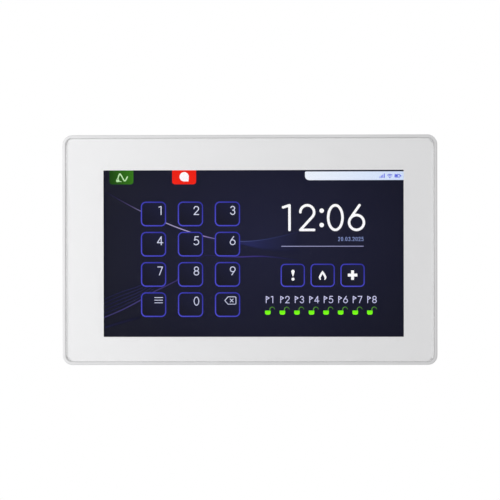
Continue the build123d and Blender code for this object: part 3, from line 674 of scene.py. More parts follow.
@dataclass(frozen=True)
class WaveLight(Finish):
    """A line or veil of light in the picture, which changes tone and strength along its way."""

    tones: tuple[tuple[float, str, float], ...]  # place along it, colour and how solid it is
    soft: float  # how far it fades towards its sides, 0 to 1

    def shade(self, tree: bpy.types.NodeTree) -> bpy.types.NodeSocket:
        """Builds the tone from the along attribute, and clears it by strength and towards the sides."""
        along = add_node(tree, "ShaderNodeAttribute", attribute_name="along").outputs["Fac"]
        side = add_node(tree, "ShaderNodeAttribute", attribute_name="side").outputs["Fac"]
        stops = [(at, (*linear(colour)[:3], solid)) for at, colour, solid in self.tones]
        tone = add_node(tree, "ShaderNodeValToRGB", {"Fac": along}, stops=stops)
        faded = add_node(
            tree,
            "ShaderNodeMapRange",
            {"Value": side, "From Min": 1 - self.soft, "From Max": 1.0, "To Min": 1.0, "To Max": 0.0},
            interpolation_type="SMOOTHSTEP",
        )
        solid = add_node(
            tree, "ShaderNodeMath", {0: tone.outputs["Alpha"], 1: faded.outputs[0]}, operation="MULTIPLY"
        )
        clear = add_node(tree, "ShaderNodeBsdfTransparent")
        light = add_node(tree, "ShaderNodeEmission", {"Color": tone.outputs["Color"], "Strength": GAIN})
        mixed = add_node(
            tree, "ShaderNodeMixShader", {0: solid.outputs[0], 1: clear.outputs[0], 2: light.outputs[0]}
        )
        return mixed.outputs[0]


# Finishes of the record's slots -------------------------------------------------------------------
WHITE_ABS = MouldedPlastic("abs_white_satin", "dcdcdd", "d7d7d8")  # soft sheen, almost no grain
SHELL_ABS = MouldedPlastic("abs_white_eroded", "dededf", "d6d6d7", 0.5, 0.5, 0.02)  # matt, sandy back
PLATE_ABS = MouldedPlastic("abs_white_plate", "d8d8d8", "cfcfce", 0.5, 0.45, 0.015)  # a shade greyer

SLOT_FINISHES: dict[str, Finish] = {
    "plate": PLATE_ABS,
    "bezel": WHITE_ABS,
    "housing": SHELL_ABS,
    # Toughened glass: nearly invisible face on, a crisp mirror at a slant, frosted at its ground edge.
    "lens": GroundEdgeSheet("toughened_glass", 0.03),
    # White screen-print ink, baked on the back of the glass: even and faintly woven.
    "mask": PrintedFilm("screen_print_white", "ebebec", "e7e7e8"),
    # Acrylic foam tape: grey, closed cells.
    "tape": Cellular("acrylic_foam_tape", "b9bab8", "8f908e", 0.3, 0.02),
    # Sensor film on thin glass.
    "sensor": ClearSheet("sensor_glass", 0.008),
    # Electro-galvanised pressed steel: bluish grey with fine rolling marks.
    "display_steel": Metal("steel_galvanised_pressed", "a9abad", "8f9295", 0.36, Lay.ALONG_X, 0.2),
    # Polyurethane foam: black, open cells.
    "foam": Cellular("urethane_foam_black", "1d1d1f", "0a0a0b", 0.45, 0.08),
    # Polyester diffuser: milky white with the prism film's fine ridges.
    "light_film": Banded("polyester_prism_film", "e6e8ea", "d5d9dd", 2, 0.6, roughness=0.25),
    # Cast acrylic light guide: clear white with rows of printed dots.
    "light_guide": PrintedFilm("acrylic_light_guide", "dfe6ea", "f4f7f8", 1.4, 0.12),
    # Phosphor lamps on a white strip: yellow, one every 8.8 mm.
    "led_strip": Banded("led_strip_phosphor", "eceadf", "e9c94a", 0, 8.8, 3.0 / 8.8, 3.8, roughness=0.4),
    # Polyimide film with copper conductors: amber with darker stripes.
    "flex": Banded("polyimide_flat_cable", "b9792a", "8c5518", 0, 1.0, 0.55, metallic=0.25, roughness=0.3),
    # Hot-dip galvanised sheet: broad pale spangles.
    "carrier_steel": Metal("steel_spangled", "b4b6b6", "8b8e90", 0.34, Lay.EVEN, 0.8, 0.002, 5.0),
    # Zinc-plated steel with clear passivation: bright and faintly blue.
    "screws": Metal("steel_zinc_plated", "c3c6ca", "9a9ea4", 0.24, Lay.EVEN, 0.15, 0.002, 2.0),
    # Turned brass: warm, with tool rings.
    "brass": Metal("brass_turned", "d2ad5c", "a8823a", 0.26, Lay.ALONG_Z, 0.1, 0.002, 3.0),
    "board": SolderMask("solder_mask_green", "0f4a2a", "1b6a3c", "c5b47a", "d3b565"),
    # Moulded epoxy: near black, finely pitted.
    "chips": MouldedPlastic("epoxy_moulded_black", "202123", "18191a", 0.55, 0.2, 0.01, 6.0),
    # Matt tin plating: pale, slightly grained.
    "tinned": Metal("tin_plated_matt", "c9cac8", "a9aaa7", 0.38, Lay.EVEN, 0.2, 0.003, 2.5),
    # Drawn aluminium can on a black base, with its marked negative side.
    "capacitors": Metal("aluminium_can", "cfd1d3", "b2b5b8", 0.22, Lay.EVEN, 0.15, 0.001, 3.0),
    # Pressed ferrite: dark grey, powdery.
    "inductors": Cellular("ferrite_pressed", "4b4c4e", "37383a", 0.25, 0.02, 0.7),
    # Glass-filled nylon: natural ivory, a little rough.
    "sockets": MouldedPlastic("nylon_ivory", "dcd3bd", "cfc4a9", 0.5, 0.4, 0.015, 6.0),
    # Polyester resin terminal: leaf green, glossy where the mould was polished.
    "terminal_green": MouldedPlastic("pbt_terminal_green", "3d8a4b", "2f7640", 0.35, 0.4, 0.008, 9.0),
    # Stainless spring strip: neutral, drawn along its length.
    "spring_steel": Metal("stainless_spring", "b7b9ba", "96999b", 0.25, Lay.ALONG_X, 0.12),
    # Polyester resin buttons: signal orange.
    "buttons": MouldedPlastic("pbt_button_orange", "d9691e", "c45a15", 0.38, 0.35, 0.008, 4.0),
    "switches": MouldedPlastic("phenolic_switch_black", "2b2b2d", "202022", 0.45, 0.3, 0.01, 4.0),
    # Acetal: waxy white.
    "plunger": MouldedPlastic("acetal_natural", "e9e7df", "dedbd0", 0.3, 0.6, 0.004, 6.0),
    # Moulded rubber: soft charcoal with a dusty bloom, and painted shade in the hollows between its cells.
    "rubber": Cellular("rubber_moulded", "353537", "28282a", 0.3, 0.01, 0.8),
    # Black electro-coat over drawn steel.
    "basket": MouldedPlastic("electrocoat_black", "1f2022", "17181a", 0.3, 0.25, 0.004, 8.0),
    # Polyester diaphragm with pressed rings: cloudy grey.
    "cone": PrintedFilm("polyester_diaphragm", "8e9194", "7d8083", 0.9, 0.22),
    # Nickel plate over sintered magnet: warm, bright.
    "magnet": Metal("nickel_plated", "c9c5bc", "a8a49b", 0.18, Lay.EVEN, 0.3, 0.001, 4.0),
    # Vinyl insulation: one lead red, the other black.
    "leads": Banded("vinyl_leads_red_black", "262628", "b3211c", 2, 9.0, 0.5, -31.5, roughness=0.4),
    # Matt silver polyester: a blank foil label with fine brushing.
    "label": Metal("polyester_foil_silver", "c2c4c5", "b3b5b6", 0.42, Lay.ALONG_X, 0.15, 0.001, 12.0),
}


def dress_model() -> None:
    """Gives every CAD node the finish of its slot in the record, but for the cell, which Backdrop lights."""
    for entry in frame["record"]["subparts"]:
        if entry["material_slot"] not in SLOT_FINISHES:
            continue
        mesh = frame["nodes"][entry["node"]].data
        mesh.materials.clear()
        mesh.materials.append(SLOT_FINISHES[entry["material_slot"]].material())
        LOG.info("%s is finished as %s", entry["node"], mesh.materials[0].name)


# Flat artwork -------------------------------------------------------------------------------------
def arc(centre: Point, radius: float, start: float, end: float, tall: float = 1.0) -> list[Point]:
    """Points along an arc.

    Args:
        centre: Its centre.
        radius: Its radius across.
        start: The angle where it starts, in degrees from the right.
        end: The angle where it ends. Below start, the arc runs clockwise.
        tall: The height of the arc's ellipse as a share of its width.

    Returns:
        The points, about one every 9 degrees.
    """
    count = max(2, round(abs(end - start) / 9))
    angles = [math.radians(start + (end - start) * i / count) for i in range(count + 1)]
    return [(centre[0] + radius * math.cos(a), centre[1] + radius * tall * math.sin(a)) for a in angles]


def rounded(centre: Point, width: float, height: float, radii: Sequence[float]) -> list[Point]:
    """The outline of a rectangle with a radius for each corner.

    Args:
        centre: Its middle.
        width: Its width.
        height: Its height.
        radii: The radii at lower left, lower right, upper right and upper left.

    Returns:
        The points, anticlockwise.
    """
    outline = []
    for turn, (x_side, y_side), radius in zip((180, 270, 0, 90), ((-1, -1), (1, -1), (1, 1), (-1, 1)), radii):
        corner = (centre[0] + x_side * (width / 2 - radius), centre[1] + y_side * (height / 2 - radius))
        outline += arc(corner, radius, turn, turn + 90) if radius else [corner]
    return outline


def smooth_path(points: Sequence[Point], steps: int = 8) -> list[Point]:
    """A Catmull-Rom curve through a few points.

    Args:
        points: The points it passes through.
        steps: How many short runs stand for each span.

    Returns:
        The points of the curve.
    """
    ends = [points[0], *points, points[-1]]
    path = []
    for a, b, c, d in zip(ends, ends[1:], ends[2:], ends[3:]):
        for i in range(steps):
            t = i / steps
            path.append(
                tuple(
                    0.5 * (2 * q + (r - p) * t + (2 * p - 5 * q + 4 * r - s) * t**2
                           + (3 * q - p - 3 * r + s) * t**3)
                    for p, q, r, s in zip(a, b, c, d)
                )
            )
    return [*path, points[-1]]


class Layer(Enum):
    """How far in front of the cell a part of the picture lies, mm, from the back to the front."""

    VEIL = 0.02
    WAVE = 0.09
    FACE = 0.16
    LINE = 0.23
    MARK = 0.30


@dataclass(frozen=True)
class PictureArea:
    """The lit picture's place: the middle of the clear window, and the front of the cell."""

    x: float
    z: float
    glass: float  # depth of the cell's front face

    def place(self, point: Point, depth: float) -> Vector:
        """Turns a point of the picture and a depth into a place in the model's frame."""
        return Vector((self.x + point[0], -depth, self.z + point[1])) * MM


class Artwork:
    """Flat shapes, drawn in millimetres from the picture's middle, that become one thin solid."""

    def __init__(self) -> None:
        """Starts with nothing drawn."""
        self.points: list[Point] = []
        self.faces: list[list[int]] = []
        self.along: list[float] = []  # how far along its stroke each point lies, 0 to 1
        self.side: list[float] = []  # how far from its stroke's middle line, 0 to 1

    def spot(self, point: Point, along: float = 0.0, side: float = 0.0) -> int:
        """Adds one point and returns its number."""
        self.points.append(point)
        self.along.append(along)
        self.side.append(side)
        return len(self.points) - 1

    def polygon(self, outline: Iterable[Point]) -> None:
        """Adds a filled shape, given anticlockwise."""
        self.faces.append([self.spot(point) for point in outline])

    def disc(self, centre: Point, radius: float) -> None:
        """Adds a filled circle."""
        self.polygon(arc(centre, radius, 0, 360)[:-1])

    def ring(self, outline: Sequence[Point], width: float) -> None:
        """Adds a closed line whose outer edge is an anticlockwise outline."""
        self.stroke(self.offset(outline, width / 2, True), width, True)

    def rows(self, path: Sequence[Point], offsets: Sequence[float], closed: bool) -> list[list[int]]:
        """Adds rows of points beside a path.

        Args:
            path: The middle line.
            offsets: How far to the left of it each row runs, from right to left.
            closed: Whether the path's end joins its start.

        Returns:
            The numbers of the points, row by row.
        """
        widest = max(abs(offset) for offset in offsets) or 1.0
        last = max(len(path) - 1, 1)
        return [
            [
                self.spot(point, i / last, abs(offset) / widest)
                for i, point in enumerate(self.offset(path, offset, closed))
            ]
            for offset in offsets
        ]

    def strips(self, rows: Sequence[Sequence[int]], closed: bool) -> None:
        """Fills the space between neighbouring rows of points with quads."""
        count = len(rows[0])
        for right, left in zip(rows, rows[1:]):
            for i in range(count if closed else count - 1):
                j = (i + 1) % count
                self.faces.append([right[i], right[j], left[j], left[i]])

    def stroke(self, path: Sequence[Point], width: float, closed: bool = False) -> None:
        """Adds a line of even width, with round ends unless it is closed."""
        right, left = self.rows(path, (-width / 2, width / 2), closed)
        self.strips((right, left), closed)
        if closed:
            return
        for here, beside, first, last in (
            (path[0], path[1], left[0], right[0]),
            (path[-1], path[-2], right[-1], left[-1]),
        ):
            back = math.degrees(math.atan2(here[1] - beside[1], here[0] - beside[0]))
            along = self.along[first]
            cap = [self.spot(point, along, 1.0) for point in arc(here, width / 2, back - 90, back + 90)[1:-1]]
            self.faces.append([first, *cap, last])

    def ribbon(self, path: Sequence[Point], width: float) -> None:
        """Adds a line that its finish can fade towards both sides."""
        self.strips(self.rows(path, (-width / 2, 0.0, width / 2), False), False)

    def veil(self, lower: Sequence[Point], upper: Sequence[Point]) -> None:
        """Adds the area between two equally long paths, for a finish that fades towards the lower one."""
        last = len(lower) - 1
        rows = [
            [self.spot(point, i / last, side) for i, point in enumerate(path)]
            for path, side in ((lower, 1.0), (upper, 0.0))
        ]
        self.strips(rows, False)

    @staticmethod
    def offset(path: Sequence[Point], distance: float, closed: bool) -> list[Point]:
        """Moves a path to its left, keeping its corners sharp.

        Args:
            path: The points.
            distance: How far to the left, or to the right if negative.
            closed: Whether the path's end joins its start.

        Returns:
            The moved points.
        """
        moved = []
        runs = [(Vector(b) - Vector(a)).normalized() for a, b in zip(path, [*path[1:], path[0]])]
        for i, (x, y) in enumerate(path):
            leave = runs[i] if closed or i < len(path) - 1 else runs[i - 1]
            arrive = runs[i - 1] if closed or i else leave
            way = (arrive + leave).normalized()
            reach = distance / max(way.dot(arrive), 0.3)
            moved.append((x - way.y * reach, y + way.x * reach))
        return moved

    def mesh(self, name: str, area: PictureArea, layer: Layer) -> bpy.types.Mesh:
        """Gives the shapes a thickness.

        Args:
            name: The mesh's name.
            area: Where the picture lies.
            layer: How far in front of the cell the shapes lie.

        Returns:
            The closed mesh, with the attributes along, side, across and up.
        """
        count, back = len(self.points), area.glass + layer.value
        spots = [area.place(point, depth) for depth in (back + SHEET, back) for point in self.points]
        edges = {(a, b) for face in self.faces for a, b in zip(face, [*face[1:], face[0]])}
        faces = [*self.faces, *[[i + count for i in reversed(face)] for face in self.faces]]
        faces += [[a, a + count, b + count, b] for a, b in sorted(edges) if (b, a) not in edges]
        mesh = bpy.data.meshes.new(name)
        mesh.from_pydata(spots, [], faces)
        marks = {"along": self.along, "side": self.side}
        for title, axis in (("across", 0), ("up", 1)):
            values = [point[axis] for point in self.points]
            low, span = min(values), max(values) - min(values)
            marks[title] = [(value - low) / (span or 1.0) for value in values]
        for title, values in marks.items():
            mesh.attributes.new(title, "FLOAT", "POINT").data.foreach_set("value", [*values, *values])
        mesh.validate()
        return mesh

    def shown(self, name: str, area: PictureArea, layer: Layer, finish: Finish) -> bpy.types.Object:
        """Makes the artwork a lit part of the picture.

        Args:
            name: The piece's name.
            area: Where the picture lies.
            layer: How far in front of the cell it lies.
            finish: Its colour and shading.

        Returns:
            The piece, riding on the front unit.
        """
        return carried(new_object(name, self.mesh(name, area, layer), finish), FRONT_UNIT)

    def repeated(
        self, name: str, area: PictureArea, layer: Layer, finish: Finish, grid: "Lattice"
    ) -> bpy.types.Object:
        """Makes the artwork a lit part of the picture, once at each place of a lattice."""
        return grid.repeat(name, self.mesh(name + "_first", area, layer), finish, "cell")


@dataclass(frozen=True)
class Figures:
    """Rounded single-line figures, drawn in units of their own height."""

    height: float  # over the line's outer edges, mm
    line: float  # width of the line, mm
    squeeze: float = 1.0  # how narrow the figures are drawn

    SHAPES = {
        "0": [arc((0.29, 0.5), 0.29, 90, 450, 0.5 / 0.29)],
        "1": [[(0.0, 0.92), (0.26, 1.0)], [(0.26, 1.0), (0.26, 0.0)]],
        "2": [[*arc((0.28, 0.72), 0.28, 180, -42.5), (0.0, 0.0)], [(0.0, 0.0), (0.56, 0.0)]],
        "3": [arc((0.28, 0.76), 0.24, 160, -90), arc((0.28, 0.27), 0.27, 90, -160)],
        "4": [[(0.48, 1.0), (0.0, 0.26)], [(0.0, 0.26), (0.68, 0.26)], [(0.48, 1.0), (0.48, 0.0)]],
        "5": [
            [(0.54, 1.0), (0.14, 1.0)],
            [(0.14, 1.0), (0.08, 0.55)],
            arc((0.26, 0.32), 0.32, 130, -145),
        ],
        "6": [arc((0.3, 0.3), 0.3, 0, 360), [(0.42, 1.0), (0.05, 0.47)]],
        "7": [[(0.0, 1.0), (0.58, 1.0)], [(0.58, 1.0), (0.2, 0.0)]],
        "8": [arc((0.29, 0.75), 0.25, 0, 360), arc((0.29, 0.25), 0.29, 0, 360, 0.25 / 0.29)],
        "9": [arc((0.3, 0.7), 0.3, 0, 360), [(0.18, 0.0), (0.55, 0.53)]],
    }

    @property
    def scale(self) -> float:
        """Height of the line's middle, mm."""
        return self.height - self.line

    def width(self, figure: str) -> float:
        """Width of a figure over the line's outer edges, in millimetres."""
        if figure == ".":
            return self.line
        reach = max(x for stroke in self.SHAPES[figure] for x, _ in stroke)
        return reach * self.squeeze * self.scale + self.line

    def draw(self, art: Artwork, figure: str, left: float, base: float) -> None:
        """Draws one figure.

        Args:
            art: What it is drawn in.
            figure: The figure, or a full stop.
            left: Its left edge.
            base: Its lower edge.
        """
        x0, y0 = left + self.line / 2, base + self.line / 2
        if figure == ".":
            art.disc((x0, y0), self.line * 0.62)
            return
        for stroke in self.SHAPES[figure]:
            path = [(x0 + x * self.squeeze * self.scale, y0 + y * self.scale) for x, y in stroke]
            closed = len(path) > 3 and math.dist(path[0], path[-1]) < self.line * 0.01
            art.stroke(path[:-1] if closed else path, self.line, closed)

    def write(self, art: Artwork, figures: str, left: float, base: float, gap: float) -> None:
        """Draws a row of figures with an even gap between them."""
        for figure in figures:
            self.draw(art, figure, left, base)
            left += self.width(figure) + gap


# Repeats and windings -----------------------------------------------------------------------------
def grown(
    name: str, base: bpy.types.Mesh, tree: bpy.types.NodeTree, inputs: dict[str, Any], finish: Finish
) -> bpy.types.Object:
    """Runs a geometry tree and keeps its result as a plain piece.

    Args:
        name: The piece's name.
        base: The mesh that the tree starts from.
        tree: The geometry node tree.
        inputs: Values for the tree's inputs, by name.
        finish: What the piece is made of.

    Returns:
        The piece, with no modifier.
    """
    seed = bpy.data.objects.new(name + "_seed", base)
    bpy.context.scene.collection.objects.link(seed)
    growth = seed.modifiers.new("growth", "NODES")
    growth.node_group = tree
    values = {**inputs, "Finish": finish.material()}
    for item in tree.interface.items_tree:
        if item.item_type == "SOCKET" and item.in_out == "INPUT" and item.name in values:
            growth[item.identifier] = values[item.name]
    depsgraph = bpy.context.evaluated_depsgraph_get()
    mesh = bpy.data.meshes.new_from_object(
        seed.evaluated_get(depsgraph), preserve_all_data_layers=True, depsgraph=depsgraph
    )
    mesh.name = name
    bpy.data.objects.remove(seed)
    return new_object(name, mesh, finish)


def start_tree(name: str, sockets: dict[str, str]) -> bpy.types.GeometryNodeTree:
    """Makes a geometry tree with its interface.

    Args:
        name: The tree's name.
        sockets: The kind of each input after the geometry, by name.

    Returns:
        The tree, with no nodes.
    """
    tree = bpy.data.node_groups.new(name, "GeometryNodeTree")
    tree.interface.new_socket("Geometry", in_out="OUTPUT", socket_type="NodeSocketGeometry")
    for title, kind in {"Geometry": "Geometry", **sockets, "Finish": "Material"}.items():
        tree.interface.new_socket(title, in_out="INPUT", socket_type="NodeSocket" + kind)
    return tree


def end_tree(tree: bpy.types.GeometryNodeTree, given: bpy.types.Node, shape: bpy.types.NodeSocket) -> None:
    """Ends a geometry tree with real meshes and their finish."""
    real = add_node(tree, "GeometryNodeRealizeInstances", {"Geometry": shape})
    done = add_node(
        tree, "GeometryNodeSetMaterial", {"Geometry": real.outputs[0], "Material": given.outputs["Finish"]}
    )
    add_node(tree, "NodeGroupOutput", {"Geometry": done.outputs[0]})


def lattice_tree() -> bpy.types.GeometryNodeTree:
    """Returns the tree that repeats a piece over columns, to the right, and rows, downwards."""
    name = "rows_and_columns"
    if name in bpy.data.node_groups:
        return bpy.data.node_groups[name]
    tree = start_tree(name, {"Columns": "Int", "Rows": "Int", "Column Pitch": "Float", "Row Pitch": "Float"})
    given = add_node(tree, "NodeGroupInput")
    columns, rows = given.outputs["Columns"], given.outputs["Rows"]
    count = add_node(tree, "ShaderNodeMath", {0: columns, 1: rows}, operation="MULTIPLY")
    index = add_node(tree, "GeometryNodeInputIndex").outputs[0]
    column = add_node(tree, "ShaderNodeMath", {0: index, 1: columns}, operation="FLOORED_MODULO")
    row = add_node(
        tree,
        "ShaderNodeMath",
        {0: add_node(tree, "ShaderNodeMath", {0: index, 1: columns}, operation="DIVIDE").outputs[0]},
        operation="FLOOR",
    )
    across = add_node(
        tree, "ShaderNodeMath", {0: column.outputs[0], 1: given.outputs["Column Pitch"]}, operation="MULTIPLY"
    )
    down = add_node(
        tree, "ShaderNodeMath", {0: row.outputs[0], 1: given.outputs["Row Pitch"]}, operation="MULTIPLY"
    )
    fall = add_node(tree, "ShaderNodeMath", {0: down.outputs[0], 1: -1.0}, operation="MULTIPLY")
    spot = add_node(tree, "ShaderNodeCombineXYZ", {"X": across.outputs[0], "Z": fall.outputs[0]})
    points = add_node(
        tree, "GeometryNodePoints", {"Count": count.outputs[0], "Position": spot.outputs[0]}
    )
    repeats = add_node(
        tree,
        "GeometryNodeInstanceOnPoints",
        {"Points": points.outputs[0], "Instance": given.outputs["Geometry"]},
    )
    end_tree(tree, given, repeats.outputs[0])
    return tree


@dataclass(frozen=True)
class Lattice:
    """Rows and columns that a piece is repeated in."""

    columns: int
    rows: int
    column_pitch: float  # mm
    row_pitch: float = 0.0  # mm

    def repeat(self, name: str, base: bpy.types.Mesh, finish: Finish, slot: str) -> bpy.types.Object:
        """Repeats a mesh that stands at the first place, upper left.

        Args:
            name: The piece's name.
            base: The mesh.
            finish: What it is made of.
            slot: The record's slot of that finish; it is not used.

        Returns:
            One piece, riding on the front unit.
        """
        inputs = {
            "Columns": self.columns,
            "Rows": self.rows,
            "Column Pitch": self.column_pitch * MM,
            "Row Pitch": self.row_pitch * MM,
        }
        return carried(grown(name, base, lattice_tree(), inputs, finish), FRONT_UNIT)


def coil_tree() -> bpy.types.GeometryNodeTree:
    """Returns the tree that winds a round wire into a cone, from its base mesh's place along -Y."""
    tree = start_tree(
        "wound_wire",
        {"Turns": "Float", "Start Radius": "Float", "End Radius": "Float", "Height": "Float", "Wire": "Float",
         "Place": "Vector"},
    )
    given = add_node(tree, "NodeGroupInput")
    path = add_node(tree, "GeometryNodeCurveSpiral", {
        "Resolution": 40,
        "Rotations": given.outputs["Turns"],
        "Start Radius": given.outputs["Start Radius"],
        "End Radius": given.outputs["End Radius"],
        "Height": given.outputs["Height"],
    })
    section = add_node(
        tree, "GeometryNodeCurvePrimitiveCircle", {"Resolution": 12, "Radius": given.outputs["Wire"]}
    )
    wire = add_node(
        tree,
        "GeometryNodeCurveToMesh",
        {"Curve": path.outputs[0], "Profile Curve": section.outputs[0], "Fill Caps": True},
    )
    turned = add_node(tree, "GeometryNodeTransform", {
        "Geometry": wire.outputs[0],
        "Rotation": (math.pi / 2, 0.0, 0.0),
        "Translation": given.outputs["Place"],
    })
    end_tree(tree, given, turned.outputs[0])
    return tree


def blunt_box(name: str, size: Vector, centre: Vector, blunt: float) -> bpy.types.Mesh:
    """A block with rounded edges.

    Args:
        name: The mesh's name.
        size: Its size along X, Y and Z, mm.
        centre: Its middle in the model's frame, mm.
        blunt: Radius of its edges, mm.

    Returns:
        The mesh.
    """
    shape = bmesh.new()
    bmesh.ops.create_cube(shape, size=1.0, matrix=Matrix.Translation(centre) @ Matrix.Diagonal((*size, 1)))
    bmesh.ops.bevel(shape, geom=shape.edges[:], offset=blunt, segments=2, affect="EDGES", profile=0.5)
    bmesh.ops.scale(shape, vec=(MM, MM, MM), verts=shape.verts[:])
    mesh = bpy.data.meshes.new(name)
    shape.to_mesh(mesh)
    shape.free()
    return mesh


# The picture --------------------------------------------------------------------------------------
@dataclass(frozen=True)
class Backdrop:
    """The picture's own glow, which the cell's glass shows."""

    area: PictureArea

    def build(self) -> list[bpy.types.Object]:
        """Gives the cell its glowing front."""
        finish = PictureGlass(
            "picture_glass",
            (self.area.x + 5.0, self.area.z + 9.0),
            (104.0, 78.0),
            self.area.glass,
            ((0.0, "151624"), (0.15, "161726"), (0.4, "191a2c"), (0.65, "1c1d31"), (1.0, "1f2037")),
        )
        cell = frame["nodes"]["display_cell"]
        cell.data.materials.clear()
        cell.data.materials.append(finish.material())
        return [cell]


@dataclass(frozen=True)
class StatusTabs:
    """Two coloured tabs that hang from the top edge: mains supply and messages."""

    area: PictureArea
    top: float  # where they pass behind the mask
    bottom: float = 35.85
    width: float = 12.4
    mains_x: float = -68.35
    message_x: float = -35.85

    def tab(self, name: str, x: float, finish: Finish) -> bpy.types.Object:
        """Makes one tab, with its two lower corners rounded."""
        art = Artwork()
        height = self.top - self.bottom
        art.polygon(rounded((x, self.bottom + height / 2), self.width, height, (1.5, 1.5, 0.0, 0.0)))
        return art.shown(name, self.area, Layer.FACE, finish)

    def build(self) -> list[bpy.types.Object]:
        """Makes both tabs and their signs."""
        wave, plug, bubble = Artwork(), Artwork(), Artwork()
        x, z = self.mains_x, self.bottom
        wave.stroke(smooth_path([(x - 1.9, z + 2.9), (x - 0.9, z + 5.4), (x + 0.1, z + 4.3),
                                 (x + 1.7, z + 1.8), (x + 3.1, z + 3.9)]), 0.6)
        plug.polygon(rounded((x - 1.9, z + 1.75), 1.7, 1.1, (0.5, 0.5, 0.2, 0.2)))
        for shift in (-0.4, 0.4):
            plug.stroke([(x - 1.9 + shift, z + 2.2), (x - 1.9 + shift, z + 2.75)], 0.3)
        plug.stroke([(x - 1.1, z + 1.6), (x - 0.1, z + 1.4)], 0.35)
        middle_of_bubble, radius = (self.message_x + 0.05, self.bottom + 3.9), 2.4
        outline = arc(middle_of_bubble, radius, 0, 270)
        bubble.polygon([*outline, (middle_of_bubble[0] + radius * 0.92, middle_of_bubble[1] - radius)])
        light_green = LitInk("ink_pale_green", "aee29a", "d6f5c8", 60)
        return [
            self.tab("tab_mains", self.mains_x, LitInk("ink_green_tab", "1e4415", "38761f", 0)),
            self.tab("tab_message", self.message_x, LitInk("ink_red_tab", "f0271a", "ea2216")),
            wave.shown("tab_mains_wave", self.area, Layer.LINE, light_green),
            plug.shown("tab_mains_plug", self.area, Layer.MARK, light_green),
            bubble.shown("tab_message_bubble", self.area, Layer.LINE,
                         LitInk("ink_white_bubble", "fff4f8", "ffffff")),
        ]


@dataclass(frozen=True)
class StatusStrip:
    """The pale strip at the upper right, with small blue signs for radio, signal and battery."""

    area: PictureArea
    right: float  # where it passes behind the mask
    left: float = 26.7
    top: float = 42.3
    bottom: float = 37.85
    signs_x: float = 65.4

    def build(self) -> list[bpy.types.Object]:
        """Makes the strip and its signs."""
        strip, signs = Artwork(), Artwork()
        width, height = self.right - self.left, self.top - self.bottom
        strip.polygon(rounded((self.left + width / 2, self.bottom + height / 2), width, height,
                              (2.2, 0.0, 0.0, 0.6)))
        x, z = self.signs_x, self.bottom + 1.3
        for bar in range(4):  # signal bars
            signs.stroke([(x + 0.75 * bar, z), (x + 0.75 * bar, z + 0.35 + 0.5 * bar)], 0.42)
        hub = (x + 5.1, z)
        signs.disc(hub, 0.32)  # radio
        for reach in (0.95, 1.65):
            signs.stroke(arc(hub, reach, 45, 135), 0.36)
        signs.ring(rounded((x + 9.0, z + 0.85), 2.9, 1.7, (0.35,) * 4), 0.32)  # battery
        signs.polygon(rounded((x + 8.6, z + 0.85), 1.3, 0.8, (0.1,) * 4))
        signs.stroke([(x + 10.75, z + 0.6), (x + 10.75, z + 1.1)], 0.35)
        return [
            strip.shown("status_strip", self.area, Layer.FACE,
                        LitInk("ink_strip_white", "eef4fd", "cedefb", 0)),
            signs.shown("status_signs", self.area, Layer.LINE,
                        LitInk("ink_strip_blue", "5058e6", "3a44d8", 0)),
        ]


KEY_FACE = LitInk("ink_key_face", "1a1a24", "20223c", 50)
KEY_LINE = LitInk("ink_key_line", "4f4fd0", "32339a", 50)
FIGURE_INK = LitInk("ink_figures_pale", "c4c8e4", "d8dcf2")
WHITE_INK = LitInk("ink_white", "fbfbff", "ffffff")
AREA_INK = LitInk("ink_area_lilac", "c4c4ea", "d0d0f4")


@dataclass(frozen=True)
class SoftKeys:
    """A block of soft keys, each a dark face in a glowing outline."""

    area: PictureArea
    left: float
    top: float
    width: float
    height: float
    radius: float
    line: float  # width of the outline
    grid: Lattice

    @property
    def first(self) -> Point:
        """Middle of the upper left key."""
        return (self.left + self.width / 2, self.top - self.height / 2)

    def frames(self, title: str) -> list[bpy.types.Object]:
        """Makes the faces and the outlines, named after their block."""
        outline = rounded(self.first, self.width, self.height, (self.radius,) * 4)
        face, ring = Artwork(), Artwork()
        face.polygon(outline)
        ring.ring(outline, self.line)
        return [
            face.repeated(title + "_faces", self.area, Layer.FACE, KEY_FACE, self.grid),
            ring.repeated(title + "_outlines", self.area, Layer.LINE, KEY_LINE, self.grid),
        ]


